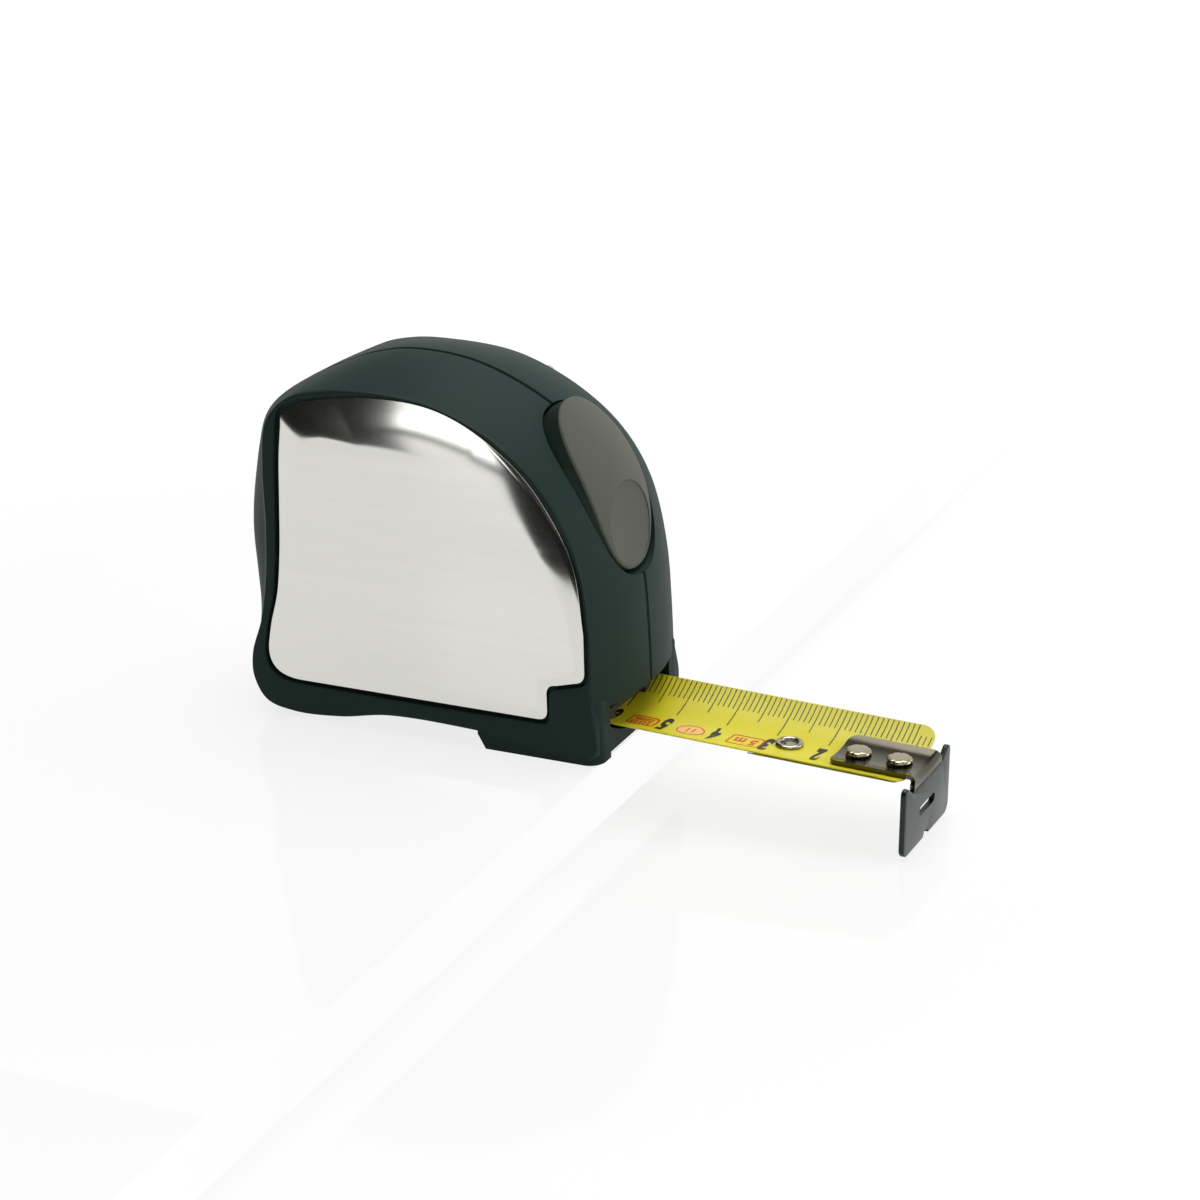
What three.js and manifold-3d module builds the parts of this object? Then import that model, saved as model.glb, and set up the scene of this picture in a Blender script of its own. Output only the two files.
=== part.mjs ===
// A 5 m pocket tape measure: a two-part plastic case with steel side plates, a spring-driven drum,
// a curved steel blade with its end hook, and a lock button that presses a brake pad on the blade.
// Millimetres. +X is the way the blade is pulled out, Y runs across the case, +Z is up.
// The origin is on the flat belly of the case, under the drum axis, midway across.

import * as THREE from "three";
import { mergeVertices } from "three/addons/utils/BufferGeometryUtils.js";
import Module from "manifold-3d";

const wasm = await Module();
wasm.setup();

// ---------------------------------------------------------------- driving dimensions

// Blade
const bladeLength = 5000;
const bladeWidth = 25;
const bladeCurveRadius = 23;
const bladeThickness = 0.2;
const bladeWoundPitch = 0.19;
const bladePitchDegrees = 2.1;
const bladeExtension = 56;
const bladeTail = 9;
const bladeCornerRadius = 3;
const troughHeight = 3.1;
const stripWidth = 23.6;
const stripLength = 30;
const stripThickness = 0.2;

// Drum and power spring
const drumRadius = 19.5;
const drumWall = 1.6;
const drumWeb = 1.4;
const coverThickness = 0.8;
const postRadius = 3;
const hubWall = 1.7;
const coilTurns = 6;
const coilRibbon = 0.6;
const springTurns = 5;
const springRibbon = 0.4;
const springWidth = 21;

// Case
const wall = 2.4;
const sideWall = 2;
const plateThickness = 0.8;
const plateRecess = 1.4;
const plateGroove = 0.5;
const sideRoom = 5.5;
const roofRoom = 6.7;
const frontRoom = 11.2;
const palmRoom = 16.6;
const channelHeight = 9.9;
const rimInset = 1;
const crownRise = 3.3;
const crownPower = 2.05;
const crownTopEase = 0.35;
const crownShoulder = 0.8;
const shoulderDegrees = 150;
const edgeRound = 0.5;
const seamDepth = 0.4;
const seamHalfWidth = 0.3;
const floorHeight = 2;
const footRise = 3;

// Nose
const noseSetback = 2.3;
const noseTop = 12.35;
const noseCornerRadius = 3;
const mouthTop = 10.3;
const lipLength = 4;
const railLength = 24.5;
const railHeight = 1.1;

// Fasteners and clearances
const running = 0.3;
const seat = 0.1;
const screwRadius = 1.25;
const screwHeadRadius = 2.3;
const screwHeadHeight = 1.2;
const screwSink = 0.2;
const pillarRadius = 2.4;
const tongueReach = 3;
const tongueHalfLength = 6;

// Lock button
const buttonHalfWidth = 10.9;
const buttonHalfLength = 16.2;
const buttonFullness = 2.35;
const buttonSideDrop = 0.5;
const buttonSink = 1;
const buttonMiddleDegrees = 23;
const buttonLift = 3;
const buttonThickness = 3;
const buttonGap = 0.35;
const pinRadius = 1.1;
const pinDepth = 4.3;
const pinDegrees = 42;
const armWidth = 9;
const armThickness = 2.4;
const padLength = 3.2;
const padHalfWidth = 8.8;
const padBridge = 1.2;
const padClearance = 0.7;
const padMargin = 0.5;
const buttonSpringRadius = 1.7;
const buttonSpringWire = 0.35;

// Hook
const hookWidth = 22.8;
const hookThickness = 1;
const hookDrop = 12.3;
const hookTabWidth = 12;
const hookTabLength = 17;
const hookTabThickness = 0.85;
const hookShoulder = 1;
const hookSlotWidth = 7.8;
const hookSlotHeight = 1.5;
const hookSlotDrop = 6.2;
const hookTravel = 1;
const rivetRadius = 1;
const rivetHeadRadius = 2.4;
const rivetHeadHeight = 0.7;
const rivetTailHeight = 0.35;
const rivetSpacing = 7.8;
const rivetSetback = 5.5;
const eyeletRadius = 1.9;
const eyeletFlangeRadius = 2.6;
const eyeletFlangeHeight = 0.35;
const eyeletSetback = 26.6;

// Belt clip
const clipWidth = 16;
const clipThickness = 1;
const clipBend = 2.6;
const clipRise = 22;
const clipLength = 46;

// ---------------------------------------------------------------- worked-out sizes

const coilRadius = Math.sqrt(drumRadius ** 2 + (bladeLength * bladeWoundPitch) / Math.PI);
const axisHeight = coilRadius + channelHeight;
const caseTop = axisHeight + coilRadius + roofRoom;
const caseFront = coilRadius + frontRoom;
const caseRear = -(coilRadius + palmRoom);
const caseHalfWidth = bladeWidth / 2 + sideRoom;
const rimHalfWidth = caseHalfWidth - rimInset;
const recessFace = caseHalfWidth - plateRecess;
const cavityHalfWidth = recessFace - sideWall;
const shoulderAngle = THREE.MathUtils.degToRad(shoulderDegrees);
const noseFront = caseFront - noseSetback;
const railStart = noseFront - railLength;

const bladeHalfAngle = bladeWidth / 2 / bladeCurveRadius;
const curveCentre = troughHeight + bladeCurveRadius;
const bladeUnder = bladeCurveRadius + bladeThickness;
const stripUpper = bladeUnder + seat;
const stripUnder = stripUpper + stripThickness;
const lipCurve = stripUnder + running;
const mouthHalfWidth = bladeUnder * Math.sin(bladeHalfAngle) + 0.8;
const bladeSpan = bladeExtension - hookThickness - hookTravel - seat;

const drumHalfWidth = bladeWidth / 2 + 0.4;
const hubRadius = postRadius + running;

const screwPlaces = [
  ["case_screw_rear_top", caseRear + 18.7, caseTop - 12.3],
  ["case_screw_rear_bottom", caseRear + 13.7, channelHeight + 3.1],
  ["case_screw_front", caseFront - 11.4, channelHeight + 7.1],
];

// ---------------------------------------------------------------- geometry helpers

// A closed geometry as a solid that can be joined and cut.
function solidOf(geometry) {
  const bare = geometry.clone();
  bare.deleteAttribute("normal");
  bare.deleteAttribute("uv");
  const merged = mergeVertices(bare, 1e-5);
  return new wasm.Manifold(new wasm.Mesh({
    numProp: 3,
    vertProperties: new Float32Array(merged.attributes.position.array),
    triVerts: new Uint32Array(merged.index.array),
  }));
}

// A solid back as a geometry that a mesh can show.
function geometryOf(solid) {
  const { vertProperties, triVerts } = solid.getMesh();
  const geometry = new THREE.BufferGeometry();
  geometry.setAttribute("position", new THREE.BufferAttribute(vertProperties, 3));
  geometry.setIndex(new THREE.BufferAttribute(triVerts, 1));
  geometry.computeVertexNormals();
  return geometry;
}

function box(x0, x1, y0, y1, z0, z1) {
  const geometry = new THREE.BoxGeometry(x1 - x0, y1 - y0, z1 - z0);
  geometry.translate((x0 + x1) / 2, (y0 + y1) / 2, (z0 + z1) / 2);
  return solidOf(geometry);
}

// An outline of [x, z] points, pushed across the case from y0 to y1.
function acrossCase(points, y0, y1) {
  const shape = new THREE.Shape(points.map(([x, z]) => new THREE.Vector2(x, z)));
  const geometry = new THREE.ExtrudeGeometry(shape, { depth: y1 - y0, bevelEnabled: false });
  geometry.rotateX(Math.PI / 2);
  geometry.translate(0, y1, 0);
  return solidOf(geometry);
}

// An outline of [y, z] points, pushed along the blade from x0 to x1.
function alongBlade(points, x0, x1) {
  const shape = new THREE.Shape(points.map(([y, z]) => new THREE.Vector2(y, z)));
  const geometry = new THREE.ExtrudeGeometry(shape, { depth: x1 - x0, bevelEnabled: false });
  geometry.applyMatrix4(new THREE.Matrix4().makeBasis(
    new THREE.Vector3(0, 1, 0), new THREE.Vector3(0, 0, 1), new THREE.Vector3(1, 0, 0)));
  geometry.translate(x0, 0, 0);
  return solidOf(geometry);
}

// An outline of [x, y] points, pushed up from z0 to z1.
function upward(points, z0, z1) {
  const shape = new THREE.Shape(points.map(([x, y]) => new THREE.Vector2(x, y)));
  const geometry = new THREE.ExtrudeGeometry(shape, { depth: z1 - z0, bevelEnabled: false });
  geometry.translate(0, 0, z0);
  return solidOf(geometry);
}

// A round bar across the case at (x, z).
function crossBar(x, z, radius, y0, y1, sides = 20) {
  const geometry = new THREE.CylinderGeometry(radius, radius, y1 - y0, sides);
  geometry.translate(x, (y0 + y1) / 2, z);
  return solidOf(geometry);
}

// A closed profile of [radius, height] points, turned about the height axis.
function lathed(profile, sides) {
  const points = profile.map(([radius, height]) => new THREE.Vector2(radius, height));
  if (THREE.ShapeUtils.area(points) < 0) {
    points.reverse();
  }
  return new THREE.LatheGeometry([...points, points[0]], sides);
}

// A [radius, y] profile turned about an axis across the case at (x, z).
function turned(profile, x, z, sides) {
  const geometry = lathed(profile, sides);
  geometry.translate(x, 0, z);
  return solidOf(geometry);
}

// The same about an upright axis at (x, 0), with a [radius, z] profile.
function turnedUpright(profile, x, sides) {
  const geometry = lathed(profile, sides);
  geometry.rotateX(Math.PI / 2);
  geometry.translate(x, 0, 0);
  return solidOf(geometry);
}

function arcPoints(cx, cz, radius, from, to, steps) {
  return Array.from({ length: steps + 1 }, (_, i) => {
    const angle = from + ((to - from) * i) / steps;
    return [cx + radius * Math.cos(angle), cz + radius * Math.sin(angle)];
  });
}

// Every point of a closed counter-clockwise outline moved outward by a distance.
function grown(points, distance) {
  return points.map(([x, z], i) => {
    const [px, pz] = points[(i + points.length - 1) % points.length];
    const [nx, nz] = points[(i + 1) % points.length];
    const before = new THREE.Vector2(z - pz, px - x).normalize();
    const after = new THREE.Vector2(nz - z, x - nx).normalize();
    const middle = before.clone().add(after).normalize();
    const reach = distance / Math.max(middle.dot(after), 0.5);
    return [x + middle.x * reach, z + middle.y * reach];
  });
}

// A strip of even thickness along a line of [a, b] points, as a closed outline.
function ribbon(points, thickness) {
  const side = (sign) => points.map(([a, b], i) => {
    const [pa, pb] = points[Math.max(i - 1, 0)];
    const [na, nb] = points[Math.min(i + 1, points.length - 1)];
    const normal = new THREE.Vector2(pb - nb, na - pa).normalize();
    return [a + (sign * normal.x * thickness) / 2, b + (sign * normal.y * thickness) / 2];
  });
  return [...side(-1), ...side(1).reverse()];
}

// A spiral of [x, z] points about the drum axis that ends at the bottom, heading forward.
function spiral(inner, outer, turns, stepsPerTurn) {
  const steps = Math.round(turns * stepsPerTurn);
  return Array.from({ length: steps + 1 }, (_, i) => {
    const share = i / steps;
    const angle = -Math.PI / 2 - 2 * Math.PI * turns * (1 - share);
    const radius = inner + (outer - inner) * share;
    return [radius * Math.cos(angle), axisHeight + radius * Math.sin(angle)];
  });
}

// ---------------------------------------------------------------- case outlines

// Two closed side-view outlines: on the seam between the halves, and where the crown meets the rim.
const seamOutline = [
  [caseFront - 0.4, 1], [caseFront, 6], [caseFront, 14], [caseFront - 0.2, 22], [caseFront - 0.9, 32],
  [caseFront - 4.2, 45], [caseFront - 9.6, 54], [caseFront - 17.7, caseTop - 7.7],
  [5, caseTop - 1.2], [-9, caseTop], [-17.3, caseTop - 1.7], [caseRear + 19.2, caseTop - 4.2],
  [caseRear + 13.3, caseTop - 7], [caseRear + 8.1, caseTop - 10.5],
  [caseRear + 5.2, caseTop - 16.2], [caseRear + 1.3, axisHeight + 6], [caseRear, axisHeight - 3],
  [caseRear + 0.7, axisHeight - 12],
  [caseRear + 2.2, 15], [caseRear + 2.7, 8], [caseRear + 5.7, 2], [caseRear + 11, -0.4], [0, -0.4],
  [caseFront - 5, -0.4],
];
const rimOutline = [
  [caseFront - crownRise, 1.5], [caseFront - crownRise, 12], [caseFront - crownRise - 0.2, 21],
  [caseFront - crownRise - 0.9, 31], [caseFront - 7, 43.3], [caseFront - 12.3, 52],
  [caseFront - 20.2, 58.6], [4.2, caseTop - crownRise - 1.3], [-9, caseTop - crownRise],
  [-18.3, caseTop - crownRise - 0.5], [caseRear + 17, caseTop - 6.1],
  [caseRear + 12.2, caseTop - 10.9], [caseRear + 10.8, caseTop - 19], [caseRear + 10.6, axisHeight + 2],
  [caseRear + 9.8, 27], [caseRear + 8.2, 18.4], [caseRear + 5.9, 11.4], [caseRear + 5.9, 6.6],
  [caseRear + 8.4, 2.3], [caseRear + 14.2, 0.8], [caseRear + 24.2, 1.2], [-8.3, footRise],
  [railStart, footRise],
];

function closedCurve(points) {
  return new THREE.CatmullRomCurve3(points.map(([x, z]) => new THREE.Vector3(x, 0, z)), true);
}

// The distance of a closed outline from the drum axis, as a function of the angle in the side view.
function radiusByAngle(points) {
  const samples = closedCurve(points).getSpacedPoints(720).map((point) => ({
    angle: Math.atan2(point.z - axisHeight, point.x),
    radius: Math.hypot(point.x, point.z - axisHeight),
  })).sort((a, b) => a.angle - b.angle);
  return (angle) => {
    const wrapped = Math.atan2(Math.sin(angle), Math.cos(angle));
    const next = samples.findIndex((sample) => sample.angle > wrapped);
    const after = samples[next < 0 ? 0 : next];
    const before = samples[(next < 0 ? samples.length : next || samples.length) - 1];
    const span = after.angle - before.angle || 1;
    const share = THREE.MathUtils.clamp((wrapped - before.angle) / span, 0, 1);
    return before.radius + (after.radius - before.radius) * share;
  };
}

const seamRadius = radiusByAngle(seamOutline);
const rimRadius = radiusByAngle(rimOutline);
const caseAngles = closedCurve(seamOutline).getSpacedPoints(72).slice(1)
  .map((point) => Math.atan2(point.z - axisHeight, point.x));

// A crowned block through slices across the case: each is [y, how far it stands out of the crown].
function crownedBlock(slices) {
  const count = caseAngles.length;
  const positions = [];
  for (const [y, rise] of slices) {
    for (const angle of caseAngles) {
      const power = crownPower - crownTopEase * Math.max(Math.sin(angle), 0) ** 2
        + crownShoulder * Math.max(Math.cos(angle - shoulderAngle), 0) ** 32;
      const share = 1 - Math.min(Math.abs(y) / rimHalfWidth, 1) ** power;
      const rim = rimRadius(angle);
      const radius = rim + (seamRadius(angle) - rim) * share
        + (typeof rise === "function" ? rise(angle) : rise);
      positions.push(radius * Math.cos(angle), y, axisHeight + radius * Math.sin(angle));
    }
  }
  positions.push(0, slices[0][0], axisHeight, 0, slices.at(-1)[0], axisHeight);
  const firstHub = slices.length * count;
  const index = [];
  for (let i = 0; i < count; i++) {
    const j = (i + 1) % count;
    for (let slice = 0; slice < slices.length - 1; slice++) {
      const low = slice * count;
      const high = low + count;
      index.push(low + i, high + i, low + j, high + i, high + j, low + j);
    }
    const last = (slices.length - 1) * count;
    index.push(firstHub, i, j, firstHub + 1, last + j, last + i);
  }
  const geometry = new THREE.BufferGeometry();
  geometry.setAttribute("position", new THREE.Float32BufferAttribute(positions, 3));
  geometry.setIndex(index);
  return solidOf(geometry);
}

// The side plate's outline, counter-clockwise: a rolled top, a waist behind and a notch over the nose.
function plateOutline() {
  const right = caseFront - 4.8;
  const left = caseRear + 14;
  const top = caseTop - 4.5;
  const bottom = 7.45;
  const notch = noseFront - 10.2;
  const notchTop = noseTop + 2.6;
  const path = new THREE.Path();
  path.moveTo(left + 2.5, bottom);
  path.lineTo(notch - 2, bottom);
  path.quadraticCurveTo(notch, bottom, notch, bottom + 2);
  path.lineTo(notch, notchTop - 2.4);
  path.quadraticCurveTo(notch, notchTop - 0.4, notch + 2, notchTop - 0.4);
  path.lineTo(right - 2, notchTop + 0.6);
  path.quadraticCurveTo(right, notchTop + 0.8, right, notchTop + 3);
  path.splineThru([[right, 25], [right - 1.3, 35.7], [right - 4.1, 43.2], [right - 9.6, 51.5],
    [right - 16.5, 57.8], [right - 24.5, top - 2], [-0.3, top], [-11.2, top - 0.1],
    [-21.9, top - 1.9]].map(([x, z]) => new THREE.Vector2(x, z)));
  path.lineTo(left + 3.2, top - 3.3);
  path.quadraticCurveTo(left + 1.4, top - 4.1, left + 1, top - 6);
  path.splineThru([[left + 0.3, top - 14.3], [left, axisHeight + 7], [left - 0.5, axisHeight - 2],
    [left - 1.6, 25], [left - 3.4, 18.4], [left - 4.3, 14]].map(([x, z]) => new THREE.Vector2(x, z)));
  path.bezierCurveTo(left - 5, 9.5, left - 2, bottom, left + 2.5, bottom);
  return path.getPoints(4).slice(0, -1).map(({ x, y }) => [x, y]);
}

// ---------------------------------------------------------------- lock button outlines

const buttonMiddle = THREE.MathUtils.degToRad(buttonMiddleDegrees);
const buttonReach = Math.asin(buttonHalfLength / (coilRadius + 7));

// A point on the seam outline, in the side view, lifted off it.
function onSeam(angle, lift) {
  const radius = seamRadius(angle) + lift;
  return [radius * Math.cos(angle), axisHeight + radius * Math.sin(angle)];
}

// How far the button's face stands out of the case: proud above, sunk below, lower at its sides.
function buttonRise(angle, y) {
  const share = THREE.MathUtils.clamp(
    (buttonMiddle + buttonReach - angle) / (2 * buttonReach), 0, 1);
  const side = (y / buttonHalfWidth) ** 2;
  return buttonLift * (1 - share) * (1 - buttonSideDrop * side) - buttonSink * share ** 3;
}

const buttonTilt = (() => {
  const [x0, z0] = onSeam(buttonMiddle + buttonReach, 0);
  const [x1, z1] = onSeam(buttonMiddle - buttonReach, 0);
  return Math.atan2(x1 - x0, z0 - z1);
})();

// An oval prism that stands on the case's front shoulder, for the button and its opening.
function buttonOval(margin) {
  const steps = 40;
  const fullness = 2 / buttonFullness;
  const rounded = (value) => Math.sign(value) * Math.abs(value) ** fullness;
  const points = Array.from({ length: steps }, (_, i) => {
    const angle = (2 * Math.PI * i) / steps;
    return new THREE.Vector2((buttonHalfWidth + margin) * rounded(Math.cos(angle)),
      (buttonHalfLength + margin) * rounded(Math.sin(angle)));
  });
  const below = buttonThickness + 6.5;
  const geometry = new THREE.ExtrudeGeometry(new THREE.Shape(points),
    { depth: below + buttonLift + 4, bevelEnabled: false });
  geometry.translate(0, 0, -below);
  const [x, z] = onSeam(buttonMiddle, -1);
  geometry.applyMatrix4(new THREE.Matrix4().makeBasis(
    new THREE.Vector3(0, 1, 0),
    new THREE.Vector3(-Math.sin(buttonTilt), 0, Math.cos(buttonTilt)),
    new THREE.Vector3(Math.cos(buttonTilt), 0, Math.sin(buttonTilt))).setPosition(x, 0, z));
  return solidOf(geometry);
}

const [pinX, pinZ] = onSeam(THREE.MathUtils.degToRad(pinDegrees), -pinDepth);
const pinReach = buttonHalfWidth + 2;
const [buttonFootX, buttonFootZ] = onSeam(buttonMiddle - buttonReach, 0);
const armFront = buttonFootX - wall - 1;
const armBack = armFront - armThickness;
const springRibX = armBack - 5.6;
const springHeight = axisHeight - 12.8;

// ---------------------------------------------------------------- case

function caseOutside() {
  const side = (sign) => [
    [sign * seamHalfWidth, 0],
    [(sign * rimHalfWidth) / 3, 0],
    [(sign * rimHalfWidth * 2) / 3, 0],
    [sign * rimHalfWidth, 0],
    [sign * (rimHalfWidth + 0.7 * rimInset), -0.3 * edgeRound],
    [sign * caseHalfWidth, -edgeRound],
  ];
  const w = caseHalfWidth + 1;
  return crownedBlock([...side(-1).reverse(), [0, -seamDepth], ...side(1)])
    .subtract(box(caseRear - 5, caseFront + 5, -w, w, -5, 0))
    .subtract(box(noseFront, caseFront + 5, -w, w, -5, mouthTop))
    .add(noseBlock());
}

// The squared block round the mouth, with its front corners rounded and a step up behind the rails.
function noseBlock() {
  const r = noseCornerRadius;
  const w = caseHalfWidth;
  const corner = noseFront - r;
  const plan = [
    [railStart, -w], ...arcPoints(corner, -w + r, r, -Math.PI / 2, 0, 5),
    ...arcPoints(corner, w - r, r, 0, Math.PI / 2, 5), [railStart, w],
  ];
  const side = [[railStart + 1.6, 0], [noseFront + 1, 0], [noseFront + 1, noseTop],
    [noseFront - 9, noseTop], [noseFront - 13, footRise + 2], [railStart, footRise + 2],
    [railStart, footRise - 0.2]];
  return upward(plan, 0, noseTop).intersect(acrossCase(side, -w, w));
}

function caseInside() {
  const slices = [-1, -0.66, -0.33, 0.33, 0.66, 1]
    .map((share) => [share * cavityHalfWidth, -wall]);
  const w = cavityHalfWidth + 1;
  return crownedBlock(slices)
    .intersect(box(caseRear, noseFront - lipLength, -w, w, floorHeight, caseTop)
      .add(box(noseFront - lipLength - 1, caseFront, -w, w, noseTop, caseTop)));
}

// The opening that the blade leaves by: its lower edge follows the blade's curve.
function mouth() {
  const reach = Math.asin(mouthHalfWidth / lipCurve);
  const lip = arcPoints(0, curveCentre, lipCurve, -Math.PI / 2 - reach, -Math.PI / 2 + reach, 12);
  const opening = alongBlade([...lip, [mouthHalfWidth, mouthTop], [-mouthHalfWidth, mouthTop]],
    noseFront - lipLength - 3, caseFront + 2);
  const rivetWay = Math.max(rivetHeadRadius, eyeletFlangeRadius) + 0.4;
  const groove = box(noseFront - lipLength - 1, noseFront + 1, -rivetWay, rivetWay,
    floorHeight - 0.1, troughHeight);
  const inner = box(noseFront - lipLength - 3, noseFront - 1, -padHalfWidth - 1,
    padHalfWidth + 1, troughHeight + 1, noseTop + 1);
  return opening.add(groove).add(inner);
}

function screwPillars(sign) {
  const near = sign < 0;
  return screwPlaces.map(([, x, z]) => {
    const ends = near ? [-cavityHalfWidth - 0.5, 0] : [0, cavityHalfWidth + 0.5];
    return crossBar(x, z, pillarRadius, ends[0], ends[1]);
  }).reduce((all, pillar) => all.add(pillar));
}

// Blind holes in the near half; through holes with sunk seats for the heads in the far half.
function screwHoles(sign) {
  const places = screwPlaces.map(([, x, z]) => [x, z]);
  if (sign < 0) {
    return places.map(([x, z]) => crossBar(x, z, screwRadius + seat, -cavityHalfWidth + 2, 1))
      .reduce((all, hole) => all.add(hole));
  }
  const headSeat = recessFace - screwSink - screwHeadHeight;
  return [...places, [0, axisHeight]].map(([x, z]) => (
    crossBar(x, z, screwRadius + running, -1, recessFace + 1)
      .add(crossBar(x, z, screwHeadRadius + running, headSeat, recessFace + 1))))
    .reduce((all, hole) => all.add(hole));
}

// Everything that stands inside one half: post collar, pin lug, spring rib and screw pillars.
function innerFeatures(sign) {
  const span = (a, b) => (sign < 0 ? [-b, -a] : [a, b]);
  const [c0, c1] = span(drumHalfWidth + running, cavityHalfWidth + 0.5);
  const collar = crossBar(0, axisHeight, hubRadius + hubWall, c0, c1, 28)
    .subtract(crossBar(0, axisHeight, postRadius + seat, c0 - 1, c1 + 1, 28)
      .intersect(box(-9, 9, -cavityHalfWidth, cavityHalfWidth, 0, caseTop)));
  const [l0, l1] = span(buttonHalfWidth - 0.5, pinReach);
  const lug = crossBar(pinX, pinZ, pinRadius + 1, l0, l1);
  const [r0, r1] = span(0, cavityHalfWidth + 0.5);
  const rib = box(springRibX, springRibX + 1, r0, r1, springHeight - 2.4, springHeight + 2.4);
  return collar.add(lug).add(rib).add(screwPillars(sign));
}

function caseHalf(sign) {
  const far = caseHalfWidth + 5;
  const half = sign < 0
    ? box(caseRear - 5, caseFront + 5, -far, 0, -5, caseTop + 5)
    : box(caseRear - 5, caseFront + 5, 0, far, -5, caseTop + 5);
  const recess = grown(plateOutline(), plateGroove);
  const recessSolid = sign < 0
    ? acrossCase(recess, -far, -recessFace)
    : acrossCase(recess, recessFace, far);
  const belly = box(railStart - 2, noseFront + 5, -mouthHalfWidth, mouthHalfWidth, -1, railHeight);
  const shell = caseOutside().intersect(half)
    .subtract(recessSolid)
    .subtract(belly)
    .subtract(caseInside())
    .subtract(buttonOval(buttonGap))
    .add(innerFeatures(sign))
    .subtract(mouth())
    .subtract(screwHoles(sign))
    .subtract(crossBar(pinX, pinZ, pinRadius + seat, -pinReach, pinReach, 16));
  return withTongue(shell, sign);
}

// The near half's locating tongue crosses the seam at the origin and lies in a slot of the far half.
function withTongue(shell, sign) {
  const length = tongueHalfLength;
  const height = floorHeight - 0.7;
  if (sign < 0) {
    return shell.add(box(-length, length, -tongueReach, tongueReach, 0, height));
  }
  return shell.subtract(box(-length - running, length + running, -1, tongueReach + running,
    -1, height + running));
}

function sidePlate(sign) {
  const inner = recessFace + seat;
  const outer = inner + plateThickness;
  if (sign < 0) {
    return acrossCase(plateOutline(), -outer, -inner);
  }
  return acrossCase(plateOutline(), inner, outer)
    .subtract(crossBar(0, axisHeight, screwRadius + running, inner - 1, outer + 1));
}

function caseScrew(x, z, headFace, tip) {
  return turned([
    [0, tip], [screwRadius, tip + 1], [screwRadius, headFace - screwHeadHeight],
    [screwHeadRadius, headFace - screwHeadHeight], [screwHeadRadius, headFace], [0, headFace],
  ], x, z, 20);
}

// ---------------------------------------------------------------- drum, coil and spring

function centrePost() {
  const half = cavityHalfWidth - seat;
  return turned([
    [screwRadius + seat, half - 18], [screwRadius + seat, half], [postRadius, half],
    [postRadius, -half], [0, -half], [0, half - 18],
  ], 0, axisHeight, 28);
}

function drum() {
  const inner = drumRadius - drumWall;
  const w = drumHalfWidth;
  return turned([
    [hubRadius, 5], [hubRadius + hubWall, 5], [hubRadius + hubWall, w - drumWeb],
    [inner, w - drumWeb], [inner, -w], [drumRadius, -w], [drumRadius, w], [hubRadius, w],
  ], 0, axisHeight, 48);
}

function drumCover() {
  const inner = hubRadius + 0.2;
  const outer = drumRadius - drumWall - seat;
  const low = -drumHalfWidth;
  const high = low + coverThickness;
  return turned([[inner, low], [outer, low], [outer, high], [inner, high]], 0, axisHeight, 48);
}

function bladeCoil() {
  const inner = drumRadius + running + coilRibbon / 2;
  const line = spiral(inner, coilRadius - coilRibbon / 2, coilTurns, 36);
  return acrossCase(ribbon(line, coilRibbon), -bladeWidth / 2, bladeWidth / 2);
}

function powerSpring() {
  const line = spiral(postRadius + running + springRibbon / 2,
    drumRadius - drumWall - running - springRibbon / 2, springTurns, 26);
  return acrossCase(ribbon(line, springRibbon), -springWidth / 2 - 0.6, springWidth / 2 - 6.6);
}

// The stretch of blade between the coil and the mouth, still nearly flat.
function bladeLead() {
  const start = axisHeight - coilRadius + bladeThickness / 2;
  const end = troughHeight + 5.2;
  const length = noseFront - lipLength - 7;
  const line = [0, 0.25, 0.5, 0.75, 1].map((share) => (
    [running + (length - running) * share, start + (end - start) * share ** 1.4]));
  return acrossCase(ribbon(line, bladeThickness), -bladeWidth / 2, bladeWidth / 2);
}

// ---------------------------------------------------------------- blade and hook
// These are drawn level, from the mouth at x = 0, and pitched down together in the blade group.

// A curved strip between two radii of the blade's cross-section.
function trough(inner, outer, halfAngle, x0, x1, steps) {
  const down = -Math.PI / 2;
  const upper = arcPoints(0, curveCentre, inner, down + halfAngle, down - halfAngle, steps);
  const lower = arcPoints(0, curveCentre, outer, down - halfAngle, down + halfAngle, steps);
  return alongBlade([...lower, ...upper], x0, x1);
}

function rivetPlaces() {
  const first = bladeExtension - rivetSetback;
  return [first, first - rivetSpacing];
}

function uprightHole(x, radius) {
  return turnedUpright([[0, -2], [radius, -2], [radius, troughHeight + 4], [0, troughHeight + 4]],
    x, 16);
}

function blade() {
  const r = bladeCornerRadius;
  const half = bladeWidth / 2;
  const plan = [
    [-bladeTail, -half], ...arcPoints(bladeSpan - r, -half + r, r, -Math.PI / 2, 0, 4),
    ...arcPoints(bladeSpan - r, half - r, r, 0, Math.PI / 2, 4), [-bladeTail, half],
  ];
  const strip = trough(bladeCurveRadius, bladeUnder, bladeHalfAngle, -bladeTail, bladeSpan, 12)
    .intersect(upward(plan, 0, troughHeight + 8));
  const holes = rivetPlaces().map((x) => uprightHole(x, rivetRadius + seat));
  holes.push(uprightHole(bladeExtension - eyeletSetback, eyeletRadius + seat));
  return holes.reduce((solid, hole) => solid.subtract(hole), strip);
}

function bladeStrip() {
  const halfAngle = stripWidth / 2 / stripUpper;
  const strip = trough(stripUpper, stripUnder, halfAngle, bladeExtension - stripLength,
    bladeSpan - 1, 12);
  const holes = rivetPlaces().map((x) => uprightHole(x, rivetRadius + seat));
  holes.push(uprightHole(bladeExtension - eyeletSetback, eyeletRadius + seat));
  return holes.reduce((solid, hole) => solid.subtract(hole), strip);
}

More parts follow.
